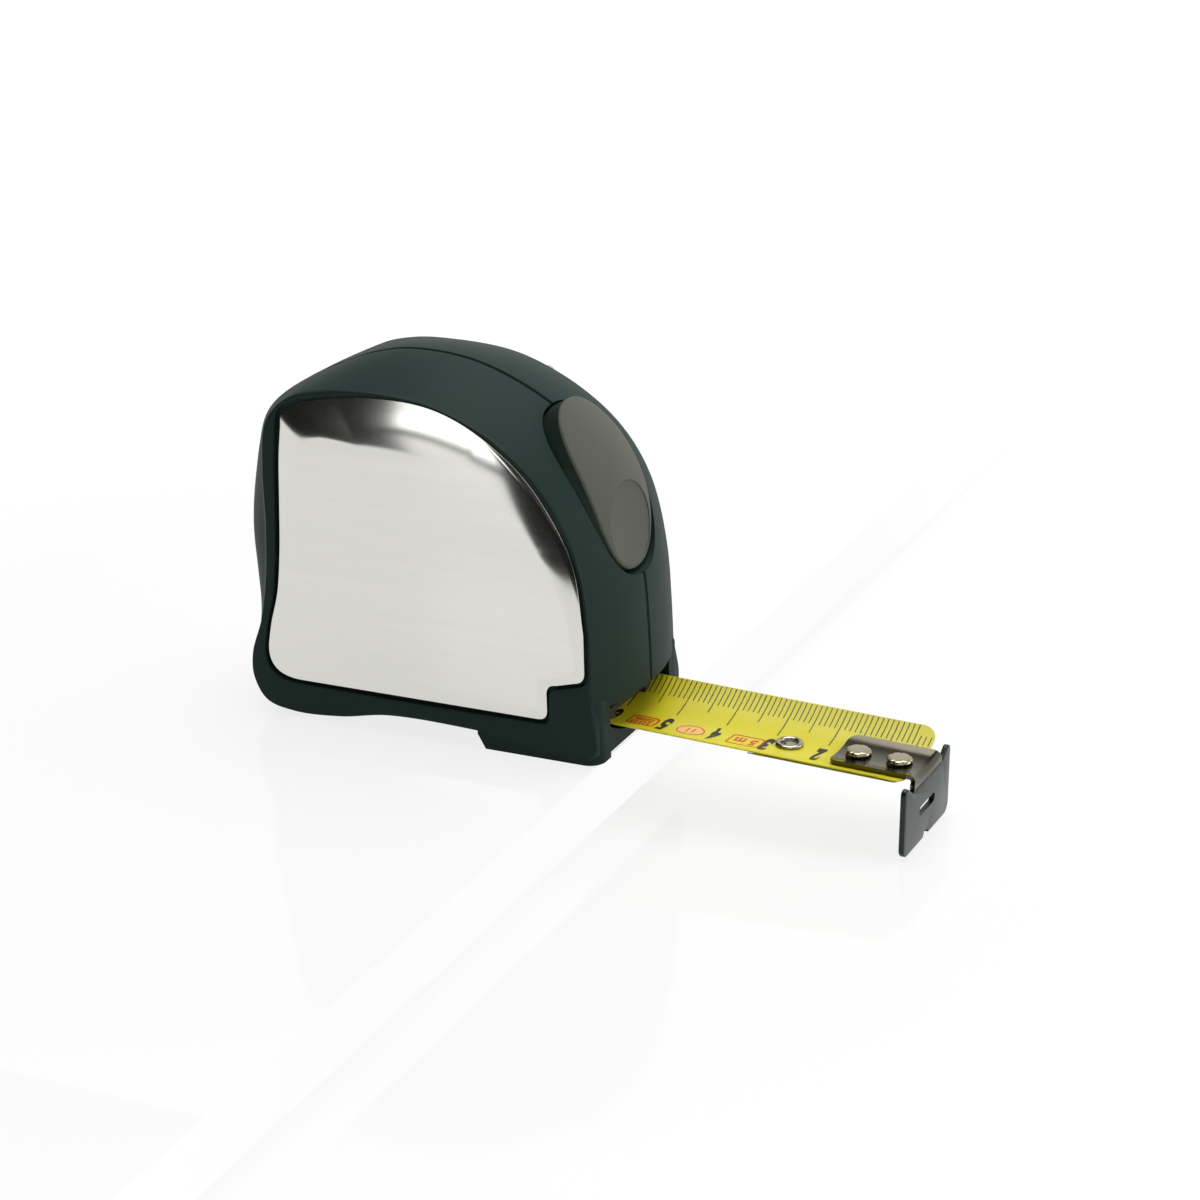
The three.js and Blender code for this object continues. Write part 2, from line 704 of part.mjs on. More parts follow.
function eyelet() {
  const top = troughHeight + 2 * seat + 0.15;
  const bottom = curveCentre - stripUnder - seat;
  const bore = eyeletRadius - 0.4;
  return turnedUpright([
    [bore, bottom - rivetTailHeight], [eyeletFlangeRadius, bottom - rivetTailHeight],
    [eyeletFlangeRadius, bottom], [eyeletRadius, bottom], [eyeletRadius, top],
    [eyeletFlangeRadius, top], [eyeletFlangeRadius, top + eyeletFlangeHeight],
    [bore, top + eyeletFlangeHeight],
  ], bladeExtension - eyeletSetback, 16);
}

function hookRivet(x) {
  const under = curveCentre - stripUnder - seat;
  const over = troughHeight + seat + hookTabThickness + 2 * seat + 0.1;
  return turnedUpright([
    [0, under - rivetTailHeight], [rivetHeadRadius, under - rivetTailHeight],
    [rivetHeadRadius, under], [rivetRadius, under], [rivetRadius, over], [rivetHeadRadius, over],
    [rivetHeadRadius * 0.8, over + rivetHeadHeight], [0, over + rivetHeadHeight],
  ], x, 16);
}

function endHook() {
  const outer = bladeExtension;
  const inner = outer - hookThickness;
  const top = troughHeight + 0.03;
  const half = hookWidth / 2;
  const plate = alongBlade([...hookHalfOutline(half, top),
    ...hookHalfOutline(half, top).reverse().map(([y, z]) => [-y, z])], inner, outer);
  const tabUnder = bladeCurveRadius - seat;
  const tabOver = tabUnder - hookTabThickness;
  const tab = trough(tabOver, tabUnder, hookTabWidth / 2 / tabUnder, outer - hookTabLength, outer, 6);
  const tabHeight = curveCentre - Math.sqrt(tabOver ** 2 - (hookTabWidth / 2) ** 2);
  const bend = box(inner, outer, -hookTabWidth / 2, hookTabWidth / 2, top - 1, tabHeight);
  const slotMiddle = top - hookSlotDrop;
  const slot = box(inner - 1, outer + 1, -hookSlotWidth / 2, hookSlotWidth / 2,
    slotMiddle - hookSlotHeight / 2, slotMiddle + hookSlotHeight / 2);
  const slide = rivetPlaces().map((x) => uprightHole(x, rivetRadius + seat)
    .add(uprightHole(x + hookTravel, rivetRadius + seat))
    .add(box(x, x + hookTravel, -rivetRadius - seat, rivetRadius + seat, troughHeight, 9)));
  return slide.reduce((solid, hole) => solid.subtract(hole), plate.add(bend).add(tab))
    .subtract(slot);
}

// The far half of the hook plate's outline, from the notch in its foot up to its raised shoulder.
function hookHalfOutline(half, top) {
  const bottom = top - hookDrop;
  const corner = 2;
  const tip = 0.9;
  const shoulderTop = top + hookShoulder;
  return [
    [0.7, bottom + 1], [1.4, bottom],
    ...arcPoints(half - corner, bottom + corner, corner, -Math.PI / 2, 0, 4),
    ...arcPoints(half - tip, shoulderTop - tip, tip, 0, Math.PI * 0.8, 4),
    [half - 3.4, top - 0.5], [half - 4, top - 0.9], [hookTabWidth / 2, top - 0.5],
  ];
}

// ---------------------------------------------------------------- lock button

function lockButton() {
  const slices = [-1, -0.66, -0.33, 0, 0.33, 0.66, 1].map((share) => share * buttonHalfWidth);
  const outer = crownedBlock(slices.map((y) => [y, (angle) => buttonRise(angle, y)]));
  const inner = crownedBlock([-1, 1].map((sign) => [sign * (buttonHalfWidth + 1),
    -buttonThickness]));
  const shell = outer.subtract(inner).intersect(buttonOval(0));
  const barrel = crossBar(pinX, pinZ, pinRadius + 1, -armWidth / 2 - 2, armWidth / 2 + 2);
  const arm = box(armBack, armFront, -armWidth / 2, armWidth / 2, padTop() + seat,
    buttonFootZ + 2);
  const pinHole = crossBar(pinX, pinZ, pinRadius + seat, -buttonHalfWidth, buttonHalfWidth, 16);
  return shell.add(barrel).add(arm).subtract(pinHole);
}

// The underside of the pad's bridge clears the rivet heads that pass beneath it.
function padArch() {
  return troughHeight + hookTabThickness + rivetHeadHeight + 1.6;
}

function padTop() {
  return padArch() + padBridge;
}

// An arch whose two feet press on the blade on either side of the hook's tab.
function brakePad() {
  const under = bladeCurveRadius - padClearance;
  const outerAngle = Math.asin(padHalfWidth / under);
  const notch = hookTabWidth / 2 + padMargin;
  const innerAngle = Math.asin(notch / under);
  const down = -Math.PI / 2;
  const foot = (from, to) => arcPoints(0, curveCentre, under, down + from, down + to, 3);
  return alongBlade([
    ...foot(-outerAngle, -innerAngle), [-notch, padArch()], [notch, padArch()],
    ...foot(innerAngle, outerAngle), [padHalfWidth, padTop()], [-padHalfWidth, padTop()],
  ], armFront - padLength, armFront);
}

function buttonPin() {
  return crossBar(pinX, pinZ, pinRadius, -pinReach + seat, pinReach - seat, 16);
}

// A small compression spring between the rib and the button's arm.
function buttonSpring() {
  const start = springRibX + 1 + running;
  const end = armBack - running;
  const turns = 3;
  const length = end - start - 2 * buttonSpringWire;
  class Helix extends THREE.Curve {
    getPoint(t, target = new THREE.Vector3()) {
      const angle = 2 * Math.PI * turns * t;
      return target.set(start + buttonSpringWire + length * t,
        buttonSpringRadius * Math.cos(angle),
        springHeight + buttonSpringRadius * Math.sin(angle));
    }
  }
  const wire = new THREE.Shape(arcPoints(0, 0, buttonSpringWire, 0, 2 * Math.PI, 6).slice(0, -1)
    .map(([a, b]) => new THREE.Vector2(a, b)));
  return solidOf(new THREE.ExtrudeGeometry(wire,
    { steps: 48, bevelEnabled: false, extrudePath: new Helix() }));
}

// ---------------------------------------------------------------- belt clip

// A sprung steel strip: an inner leg under the centre screw, a bend above, and a longer outer leg.
function beltClip() {
  const plateFace = recessFace + seat + plateThickness;
  const innerLine = plateFace + seat + clipThickness / 2;
  const outerLine = innerLine + 2 * clipBend;
  const bendHeight = axisHeight + clipRise;
  const low = bendHeight - clipLength;
  const line = [
    [innerLine, axisHeight - 5], [innerLine, bendHeight],
    ...arcPoints(innerLine + clipBend, bendHeight, clipBend, Math.PI, 0, 8).slice(1),
    [outerLine, low + 16], [outerLine - 1.5, low + 5], [outerLine + 0.5, low],
  ];
  const half = clipWidth / 2;
  return alongBlade(ribbon(line, clipThickness), -half, half)
    .subtract(crossBar(0, axisHeight, screwRadius + running, plateFace - 1,
      innerLine + clipThickness))
    .subtract(crossBar(0, axisHeight, screwHeadRadius + 1.2, innerLine + clipThickness,
      outerLine + 5));
}

function clipScrew() {
  const clipFace = recessFace + 2 * seat + plateThickness + clipThickness;
  return caseScrew(0, axisHeight, clipFace + seat + screwHeadHeight, clipFace - 17);
}

// ---------------------------------------------------------------- materials and assembly

const finish = {
  plastic: { color: 0x26302e, roughness: 0.55, metalness: 0 },
  buttonPlastic: { color: 0x5b5853, roughness: 0.35, metalness: 0 },
  innerPlastic: { color: 0xb9b6ac, roughness: 0.5, metalness: 0 },
  brushedSteel: { color: 0xc9c9c4, roughness: 0.3, metalness: 1 },
  springSteel: { color: 0x4c5560, roughness: 0.35, metalness: 1 },
  zincSteel: { color: 0xb8b8b2, roughness: 0.35, metalness: 1 },
  blackNickel: { color: 0x2a2a28, roughness: 0.2, metalness: 1 },
  yellowPaint: { color: 0xe4d540, roughness: 0.35, metalness: 0 },
  rubber: { color: 0x202020, roughness: 0.8, metalness: 0 },
};

function mesh(name, solid, look) {
  const part = new THREE.Mesh(geometryOf(solid), new THREE.MeshStandardMaterial(finish[look]));
  part.name = name;
  return part;
}

const group = new THREE.Group();

group.add(
  mesh("case_near", caseHalf(-1), "plastic"),
  mesh("case_far", caseHalf(1), "plastic"),
  mesh("side_plate_near", sidePlate(-1), "brushedSteel"),
  mesh("side_plate_far", sidePlate(1), "brushedSteel"),
  mesh("centre_post", centrePost(), "zincSteel"),
  mesh("drum", drum(), "innerPlastic"),
  mesh("drum_cover", drumCover(), "innerPlastic"),
  mesh("blade_coil", bladeCoil(), "yellowPaint"),
  mesh("power_spring", powerSpring(), "springSteel"),
  mesh("blade_lead", bladeLead(), "yellowPaint"),
  mesh("lock_button", lockButton(), "buttonPlastic"),
  mesh("button_pin", buttonPin(), "zincSteel"),
  mesh("brake_pad", brakePad(), "rubber"),
  mesh("button_spring", buttonSpring(), "zincSteel"),
  mesh("belt_clip", beltClip(), "zincSteel"),
  mesh("clip_screw", clipScrew(), "zincSteel"),
);

for (const [name, x, z] of screwPlaces) {
  group.add(mesh(name, caseScrew(x, z, recessFace - screwSink, -cavityHalfWidth + 3), "zincSteel"));
}

const bladeGroup = new THREE.Group();
bladeGroup.position.set(noseFront, 0, 0);
bladeGroup.rotation.y = THREE.MathUtils.degToRad(bladePitchDegrees);
bladeGroup.add(
  mesh("blade", blade(), "yellowPaint"),
  mesh("blade_strip", bladeStrip(), "zincSteel"),
  mesh("eyelet", eyelet(), "zincSteel"),
  mesh("end_hook", endHook(), "blackNickel"),
);
rivetPlaces().forEach((x, i) => {
  bladeGroup.add(mesh(`hook_rivet_${i + 1}`, hookRivet(x), "zincSteel"));
});
group.add(bladeGroup);

export default group;
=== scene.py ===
"""Looks of the 5 m tape measure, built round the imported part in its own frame.

Lengths are named in millimetres, as in the part, and turned into metres when a mesh is made.
"""

import math

import bmesh
import bpy
import numpy as np
from mathutils import Matrix, Vector


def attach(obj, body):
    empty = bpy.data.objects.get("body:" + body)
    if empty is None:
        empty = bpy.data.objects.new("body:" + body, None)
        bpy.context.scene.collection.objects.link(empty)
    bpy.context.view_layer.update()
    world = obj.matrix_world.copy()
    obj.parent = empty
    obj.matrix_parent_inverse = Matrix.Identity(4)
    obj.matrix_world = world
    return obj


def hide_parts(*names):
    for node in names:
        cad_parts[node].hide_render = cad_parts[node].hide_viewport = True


MM = 0.001

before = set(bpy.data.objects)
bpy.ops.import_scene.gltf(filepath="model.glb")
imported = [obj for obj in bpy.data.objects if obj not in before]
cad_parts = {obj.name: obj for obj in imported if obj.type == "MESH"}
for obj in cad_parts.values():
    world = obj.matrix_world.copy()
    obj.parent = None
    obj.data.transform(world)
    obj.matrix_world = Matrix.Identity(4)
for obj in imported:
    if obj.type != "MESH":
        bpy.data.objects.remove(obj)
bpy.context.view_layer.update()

# -------------------- driving dimensions (as in the part)

BLADE_LENGTH = 5000
BLADE_WIDTH = 25
BLADE_CURVE = 23
BLADE_THICKNESS = 0.2
WOUND_PITCH = 0.19
BLADE_PITCH = math.radians(2.1)
BLADE_EXTENSION = 56
BLADE_TAIL = 9
BLADE_CORNER = 3
TROUGH_HEIGHT = 3.1
BLADE_END_GAP = 0.3
STRIP_WIDTH = 23.6
STRIP_LENGTH = 30
STRIP_CORNER = 2.4
SEAT = 0.1
RUNNING = 0.3

DRUM_RADIUS = 19.5
WALL = 2.4
SIDE_WALL = 2
PLATE_RECESS = 1.4
PLATE_GROOVE = 0.8
CHANNEL = 9.9
RIM_INSET = 1
CROWN_RISE = 3.3
CROWN_POWER = 2.05
CROWN_TOP_EASE = 0.35
CROWN_SHOULDER = 0.8
SHOULDER = math.radians(150)
SEAM_DEPTH = 0.7
SEAM_HALF = 0.5
FLOOR = 2
FOOT_RISE = 3

NOSE_TOP = 12.35
NOSE_CORNER = 3
MOUTH_TOP = 10.3
LIP_LENGTH = 4
RAIL_LENGTH = 24.5
RAIL_HEIGHT = 1.1

BUTTON_HALF_WIDTH = 11
BUTTON_HALF_LENGTH = 16.2
BUTTON_FULLNESS = 2.35
BUTTON_SIDE_DROP = 0.3
BUTTON_SINK = 1
BUTTON_MIDDLE = math.radians(23)
BUTTON_LIFT = 3
BUTTON_THICKNESS = 3
BUTTON_GAP = 0.5
BUTTON_DRAFT = 0.9
BUTTON_EASE = 0.4
DISH_RADIUS = 7.8
DISH_DEPTH = 1.1
DISH_STEP = 0.22
DISH_MIDDLE = math.radians(7.8)

HOOK_WIDTH = 22.8
HOOK_THICKNESS = 1
HOOK_DROP = 12.3
HOOK_TRAVEL = 1
HOOK_EASE = 0.22
TAB_WIDTH = 12
TAB_LENGTH = 17
TAB_THICKNESS = 0.85
TAB_CORNER = 2
TAB_FLARE = 0.9
TAB_OUTER_BEND = 1.4
TAB_INNER_BEND = 0.5
SLOT_WIDTH = 7.8
SLOT_HEIGHT = 1.8
SLOT_DROP = 6.2
RIVET_SPACING = 7.8
RIVET_HEAD = 2.4
RIVET_HEAD_HEIGHT = 0.7
RIVET_SHANK = 1
RIVET_TAIL = 0.35
RIVET_NOTCHES = 7
RIVET_NOTCH = 0.07
EYELET_SETBACK = 26.6
EYELET_RADIUS = 1.9
EYELET_FLANGE = 2.6
EYELET_WALL = 0.4
EYELET_ROLL = 0.42

SCREW_HOLE_RADIUS = 2.6
SCREW_HOLE_DEPTH = 1.4
CLIP_HOLE_RADIUS = 1.6

# A side plate's rolled edge and the lip outside it: (width, drop) all round, and what is added.
ROLL, ROLL_AT_TOP, ROLL_AT_FRONT = (2.0, 0.3), (7.5, 0.85), (3.5, 0.45)
ROLL_POWER = 1.6
LIP, LIP_AT_FRONT = (0.1, 0.02), (0.6, 0.28)
ROLL_LESS_AT_LIP = 0.12
PLATE_EDGE = 0.14
PLATE_SET_BACK = 0.06

# Small steps that keep the faces of two solids out of one plane where they meet.
HAIR = 0.02
BELLY = 0.03

# -------------------- worked-out sizes

COIL_RADIUS = math.sqrt(DRUM_RADIUS ** 2 + BLADE_LENGTH * WOUND_PITCH / math.pi)
AXIS = COIL_RADIUS + CHANNEL
CASE_TOP = AXIS + COIL_RADIUS + 6.7
CASE_FRONT = COIL_RADIUS + 11.2
CASE_REAR = -(COIL_RADIUS + 16.6)
CASE_HALF = BLADE_WIDTH / 2 + 5.5
RIM_HALF = CASE_HALF - RIM_INSET
RECESS = CASE_HALF - PLATE_RECESS
CAVITY_HALF = RECESS - SIDE_WALL
NOSE_FRONT = CASE_FRONT - 2.3
RAIL_START = NOSE_FRONT - RAIL_LENGTH
CURVE_CENTRE = TROUGH_HEIGHT + BLADE_CURVE
BLADE_UNDER = BLADE_CURVE + BLADE_THICKNESS
STRIP_UNDER = BLADE_UNDER + SEAT + BLADE_THICKNESS
LIP_CURVE = STRIP_UNDER + RUNNING
MOUTH_HALF = BLADE_UNDER * math.sin(BLADE_WIDTH / 2 / BLADE_CURVE) + 0.8
BLADE_SPAN = BLADE_EXTENSION - HOOK_THICKNESS - HOOK_TRAVEL - SEAT
HOOK_TOP = TROUGH_HEIGHT + 0.03
BUTTON_REACH = math.asin(BUTTON_HALF_LENGTH / (COIL_RADIUS + 7))
BUTTON_SCALE = COIL_RADIUS + 9
RIVETS = [BLADE_EXTENSION - 5.5, BLADE_EXTENSION - 5.5 - RIVET_SPACING]
EYELET = BLADE_EXTENSION - EYELET_SETBACK
SCREWS = [(CASE_REAR + 18.7, CASE_TOP - 12.3), (CASE_REAR + 13.7, CHANNEL + 3.1),
          (CASE_FRONT - 11.4, CHANNEL + 7.1)]

# The case's rim beside a plate: its least width, then the width where its roundings start to grow
# and over how much more they do. Each pair below is a size where the rim is narrow and where wide.
RIM_LEAST, RIM_ROOM = 0.12, (0.3, 1.3)
RIM_FACE, RIM_FILLET = (RIM_HALF + 0.25, CASE_HALF), (0.1, 0.25)
RIM_EASE, RIM_ROUND = (0, 0.6), (0.5, 1.6)

# -------------------- curves


def closed_curve(points):
    """A smooth closed curve through the points, with even ease between near and far ones."""
    p = np.array(points, float)
    t = np.arange(40)[:, None] / 40
    spans = []
    for i in range(len(p)):
        near = [p[(i + k - 1) % len(p)] for k in range(4)]
        p0, p1, p2, p3 = near
        d0, d1, d2 = (np.linalg.norm(b - a) ** 0.5 for a, b in zip(near, near[1:]))
        m1 = ((p1 - p0) / d0 - (p2 - p0) / (d0 + d1) + (p2 - p1) / d1) * d1
        m2 = ((p2 - p1) / d1 - (p3 - p1) / (d1 + d2) + (p3 - p2) / d2) * d1
        spans.append((2 * t ** 3 - 3 * t ** 2 + 1) * p1 + (t ** 3 - 2 * t ** 2 + t) * m1
                     + (3 * t ** 2 - 2 * t ** 3) * p2 + (t ** 3 - t ** 2) * m2)
    return np.concatenate(spans)


def spline(points):
    """A smooth open curve through the points."""
    p = np.array(points, float)
    p = np.vstack([2 * p[0] - p[1], p, 2 * p[-1] - p[-2]])
    t = np.arange(12)[:, None] / 12
    spans = []
    for i in range(len(p) - 3):
        a, b, c, d = p[i:i + 4]
        spans.append(0.5 * (2 * b + (c - a) * t + (2 * a - 5 * b + 4 * c - d) * t ** 2
                            + (3 * b - a - 3 * c + d) * t ** 3))
    return np.vstack([*spans, p[-2:-1]])


def evenly(points, count):
    """Points at even distances along a closed curve."""
    loop = np.vstack([points, points[:1]])
    along = np.concatenate([[0], np.cumsum(np.linalg.norm(np.diff(loop, axis=0), axis=1))])
    wanted = np.linspace(0, along[-1], count, endpoint=False)
    return np.stack([np.interp(wanted, along, loop[:, k]) for k in range(2)], 1)


def radius_by_angle(points, centre):
    """A closed curve's distance from a centre inside it, as a function of the angle."""
    x, z = (points - np.array(centre)).T
    angle = np.arctan2(z, x)
    order = np.argsort(angle)
    return lambda a: np.interp(a, angle[order], np.hypot(x, z)[order], period=2 * math.pi)


def arc(cx, cz, radius, start, end, steps):
    a = np.linspace(start, end, steps + 1)
    return np.stack([cx + radius * np.cos(a), cz + radius * np.sin(a)], 1)


def circle(cx, cz, radius):
    return arc(cx, cz, radius, 0, 2 * math.pi, 32)[:-1]


def bezier(start, middle, end, steps):
    t = np.linspace(0, 1, steps + 1)[:, None]
    a, b, c = (np.array(v, float) for v in (start, middle, end))
    return (1 - t) ** 2 * a + 2 * t * (1 - t) * b + t ** 2 * c


def oval(half_u, half_v, power=2, steps=48):
    """A closed oval about (0, 0), nearer a rectangle at a higher power."""
    t = np.linspace(0, 2 * math.pi, steps, endpoint=False)
    bent = lambda v: np.sign(v) * np.abs(v) ** (2 / power)
    return np.stack([half_u * bent(np.cos(t)), half_v * bent(np.sin(t))], 1)


def rounding(steps):
    """A quarter round of radius 1 from its side to its top: (how far in, how far short of the top)."""
    return [(1 - math.cos(t), 1 - math.sin(t)) for t in np.linspace(0, math.pi / 2, steps + 1)]


def fade(value, start, span):
    """0 up to a start, 1 from a span further on, and even between."""
    return np.clip((value - start) / span, 0, 1)


def mix(share, low, high):
    return low + (high - low) * share


# -------------------- meshes


def piece(name, points, faces, smooth_angle=35):
    """A mesh from points in mm, shaded smooth except across sharp edges."""
    mesh = bpy.data.meshes.new(name)
    mesh.from_pydata((np.asarray(points, float) * MM).tolist(), [], [list(f) for f in faces])
    obj = bpy.data.objects.new(name, mesh)
    bpy.context.scene.collection.objects.link(obj)
    tidy(obj, smooth_angle)
    return obj


def tidy(obj, smooth_angle=35):
    """Outward faces, and shading that is smooth below an angle."""
    edit = bmesh.new()
    edit.from_mesh(obj.data)
    bmesh.ops.remove_doubles(edit, verts=edit.verts, dist=1e-7)
    bmesh.ops.recalc_face_normals(edit, faces=edit.faces)
    edit.to_mesh(obj.data)
    edit.free()
    smooth(obj, smooth_angle)


def smooth(obj, smooth_angle):
    obj.data.shade_smooth()
    obj.data.set_sharp_from_angle(angle=math.radians(smooth_angle))


def ring_faces(rings, count):
    """Faces between closed rings of points, one ring after another."""
    i = np.arange(count)
    j = (i + 1) % count
    return np.concatenate([np.stack([a * count + i, a * count + j, (a + 1) * count + j,
                                     (a + 1) * count + i], 1) for a in range(rings - 1)]).tolist()


def prism_faces(count):
    """Faces of a solid between two outlines, the second one's points after the first one's."""
    ends = [list(range(count)), list(range(2 * count - 1, count - 1, -1))]
    return ends + [[i, i + count, (i + 1) % count + count, (i + 1) % count] for i in range(count)]


def ring_solid(name, rings, first, last, smooth_angle=35):
    """A closed solid through rings, closed at each end by a middle point."""
    count = len(rings[0])
    points = np.vstack([*rings, [first], [last]])
    faces = ring_faces(len(rings), count)
    total = len(rings) * count
    for i in range(count):
        j = (i + 1) % count
        faces.append([total, j, i])
        faces.append([total + 1, total - count + i, total - count + j])
    return piece(name, points, faces, smooth_angle)


def sheet(name, outer, inner, smooth_angle=35):
    """A closed solid between two grids of points, each shaped (rows, columns, 3)."""
    rows, columns = outer.shape[:2]
    points = np.vstack([outer.reshape(-1, 3), inner.reshape(-1, 3)])
    other = rows * columns
    at = np.arange(other).reshape(rows, columns)
    faces = []
    for a in at[:-1, :-1].ravel().tolist():
        quad = [a, a + 1, a + columns + 1, a + columns]
        faces += [quad, [other + quad[k] for k in (0, 3, 2, 1)]]
    edge = np.concatenate([at[0], at[1:, -1], at[-1, -2::-1], at[-2:0:-1, 0]]).tolist()
    faces += [[a, other + a, other + b, b] for a, b in zip(edge, edge[1:] + edge[:1])]
    return piece(name, points, faces, smooth_angle)


def prism(name, outline, low, high, axis="y"):
    """A closed outline pushed along an axis: (x, z) along y, (y, z) along x or (x, y) along z."""
    place = {"y": lambda p, v: (p[0], v, p[1]), "x": lambda p, v: (v, p[0], p[1]),
             "z": lambda p, v: (p[0], p[1], v)}[axis]
    points = [place(p, v) for v in (low, high) for p in outline]
    return piece(name, points, prism_faces(len(outline)))


def block(name, low, high):
    (x0, y0, z0), (x1, y1, z1) = low, high
    return prism(name, [(x0, y0), (x1, y0), (x1, y1), (x0, y1)], z0, z1, "z")


def rod(name, x, z, radius, y0, y1):
    return prism(name, circle(x, z, radius), y0, y1)


def level_ring(radius, height, angles):
    """A ring of points about the upright axis, its radius one number or one for each angle."""
    return np.stack([radius * np.cos(angles), radius * np.sin(angles),
                     np.full(len(angles), height)], 1)


def on_side(rings, sign):
    """Rings made for the far side, turned to the side that the sign gives."""
    return [ring * (1, sign, 1) for ring in rings]


def reshape(obj, tools, operation):
    """The object joined to, or cut by, each tool; the tools are used up."""
    for tool in tools:
        step = obj.modifiers.new("step", "BOOLEAN")
        step.object = tool
        step.operation = operation
        step.solver = "EXACT"
    view = bpy.context.evaluated_depsgraph_get()
    made = bpy.data.meshes.new_from_object(obj.evaluated_get(view))
    obj.modifiers.clear()
    obj.data = made
    for tool in tools:
        bpy.data.objects.remove(tool)
    tidy(obj)
    return obj


def cut(obj, *tools):
    return reshape(obj, tools, "DIFFERENCE")


def join(obj, *tools):
    return reshape(obj, tools, "UNION")


# -------------------- case outlines

seam_outline = closed_curve([
    (CASE_FRONT - 0.4, 1), (CASE_FRONT, 6), (CASE_FRONT, 14), (CASE_FRONT - 0.2, 22),
    (CASE_FRONT - 0.9, 32), (CASE_FRONT - 4.2, 45), (CASE_FRONT - 9.6, 54),
    (CASE_FRONT - 17.7, CASE_TOP - 7.7), (5, CASE_TOP - 1.2), (-9, CASE_TOP),
    (-17.3, CASE_TOP - 1.7), (CASE_REAR + 19.2, CASE_TOP - 4.2), (CASE_REAR + 13.3, CASE_TOP - 7),
    (CASE_REAR + 8.1, CASE_TOP - 10.5), (CASE_REAR + 5.2, CASE_TOP - 16.2),
    (CASE_REAR + 1.3, AXIS + 6), (CASE_REAR, AXIS - 3),
    (CASE_REAR + 0.7, AXIS - 12), (CASE_REAR + 2.2, 15), (CASE_REAR + 2.7, 8), (CASE_REAR + 5.7, 2),
    (CASE_REAR + 11, -0.4), (0, -0.4), (CASE_FRONT - 5, -0.4),
])
rim_outline = closed_curve([
    (CASE_FRONT - CROWN_RISE, 1.5), (CASE_FRONT - CROWN_RISE, 12),
    (CASE_FRONT - CROWN_RISE - 0.2, 21), (CASE_FRONT - CROWN_RISE - 0.9, 31),
    (CASE_FRONT - 7, 43.3), (CASE_FRONT - 12.3, 52), (CASE_FRONT - 20.2, 58.6),
    (4.2, CASE_TOP - CROWN_RISE - 1.3), (-9, CASE_TOP - CROWN_RISE),
    (-18.3, CASE_TOP - CROWN_RISE - 0.5), (CASE_REAR + 17, CASE_TOP - 6.1),
    (CASE_REAR + 12.2, CASE_TOP - 10.9), (CASE_REAR + 10.8, CASE_TOP - 19),
    (CASE_REAR + 10.6, AXIS + 2), (CASE_REAR + 9.8, 27), (CASE_REAR + 8.2, 18.4),
    (CASE_REAR + 5.9, 11.4), (CASE_REAR + 5.9, 6.6), (CASE_REAR + 8.4, 2.3),
    (CASE_REAR + 14.2, 0.8), (CASE_REAR + 24.2, 1.2), (-8.3, FOOT_RISE), (RAIL_START, FOOT_RISE),
])


def plate_outline():
    """The side plate: a rolled top, a waist behind and a notch over the nose."""
    right, left = CASE_FRONT - 4.8, CASE_REAR + 14
    top, bottom = CASE_TOP - 4.5, 7.45
    notch, notch_top = NOSE_FRONT - 10.2, NOSE_TOP + 2.6
    return np.vstack([
        bezier((notch - 2, bottom), (notch, bottom), (notch, bottom + 2), 8),
        bezier((notch, notch_top - 2.4), (notch, notch_top - 0.4), (notch + 2, notch_top - 0.4), 8),
        bezier((right - 2, notch_top + 0.6), (right, notch_top + 0.8), (right, notch_top + 3), 8),
        spline([(right, 25), (right - 1.3, 35.7), (right - 4.1, 43.2), (right - 9.6, 51.5),
                (right - 16.5, 57.8), (right - 24.5, top - 2), (-0.3, top), (-11.2, top - 0.1),
                (-21.9, top - 1.9), (left + 3.2, top - 3.3)]),
        bezier((left + 3.2, top - 3.3), (left + 1.4, top - 4.1), (left + 1, top - 6), 8),
        spline([(left + 1, top - 6), (left + 0.3, top - 14.3), (left, AXIS + 7), (left - 0.5, AXIS - 2),
                (left - 1.6, 25), (left - 3.4, 18.4), (left - 4.3, 14)]),
        bezier((left - 4.3, 14), (left - 5.2, bottom), (left + 2.5, bottom), 12),
    ])


seam_radius = radius_by_angle(seam_outline, (0, AXIS))
rim_radius = radius_by_angle(rim_outline, (0, AXIS))
plate_radius = radius_by_angle(evenly(plate_outline(), 1440), (0, AXIS))
case_points = evenly(seam_outline, 480)
case_angles = np.arctan2(case_points[:, 1] - AXIS, case_points[:, 0])


def crown(angle, y):
    """The case's radius about the drum axis at an angle and a distance from the seam."""
    power = (CROWN_POWER - CROWN_TOP_EASE * np.maximum(np.sin(angle), 0) ** 2
             + CROWN_SHOULDER * np.maximum(np.cos(angle - SHOULDER), 0) ** 32)
    share = 1 - np.minimum(np.abs(y) / RIM_HALF, 1) ** power
    return rim_radius(angle) + (seam_radius(angle) - rim_radius(angle)) * share


def polar(angles, radius, y):
    return np.stack([radius * np.cos(angles), np.broadcast_to(y, angles.shape),
                     AXIS + radius * np.sin(angles)], 1)


def above(angles, radius, height):
    """The radius cut short so that no point is lower than a height."""
    down = np.maximum(-np.sin(angles), 1e-6)
    return np.minimum(radius, (AXIS - height) / down)


def cavity(angles, y):
    """The inside of the case wall, behind the lip and over the floor."""
    radius = above(angles, crown(angles, y) - WALL, FLOOR)
    ahead = np.maximum(np.cos(angles), 1e-6)
    stop = (NOSE_FRONT - LIP_LENGTH) / ahead
    low = AXIS + stop * np.sin(angles) < NOSE_TOP
    return np.where(low & (np.cos(angles) > 0), np.minimum(radius, stop), radius)


# -------------------- case


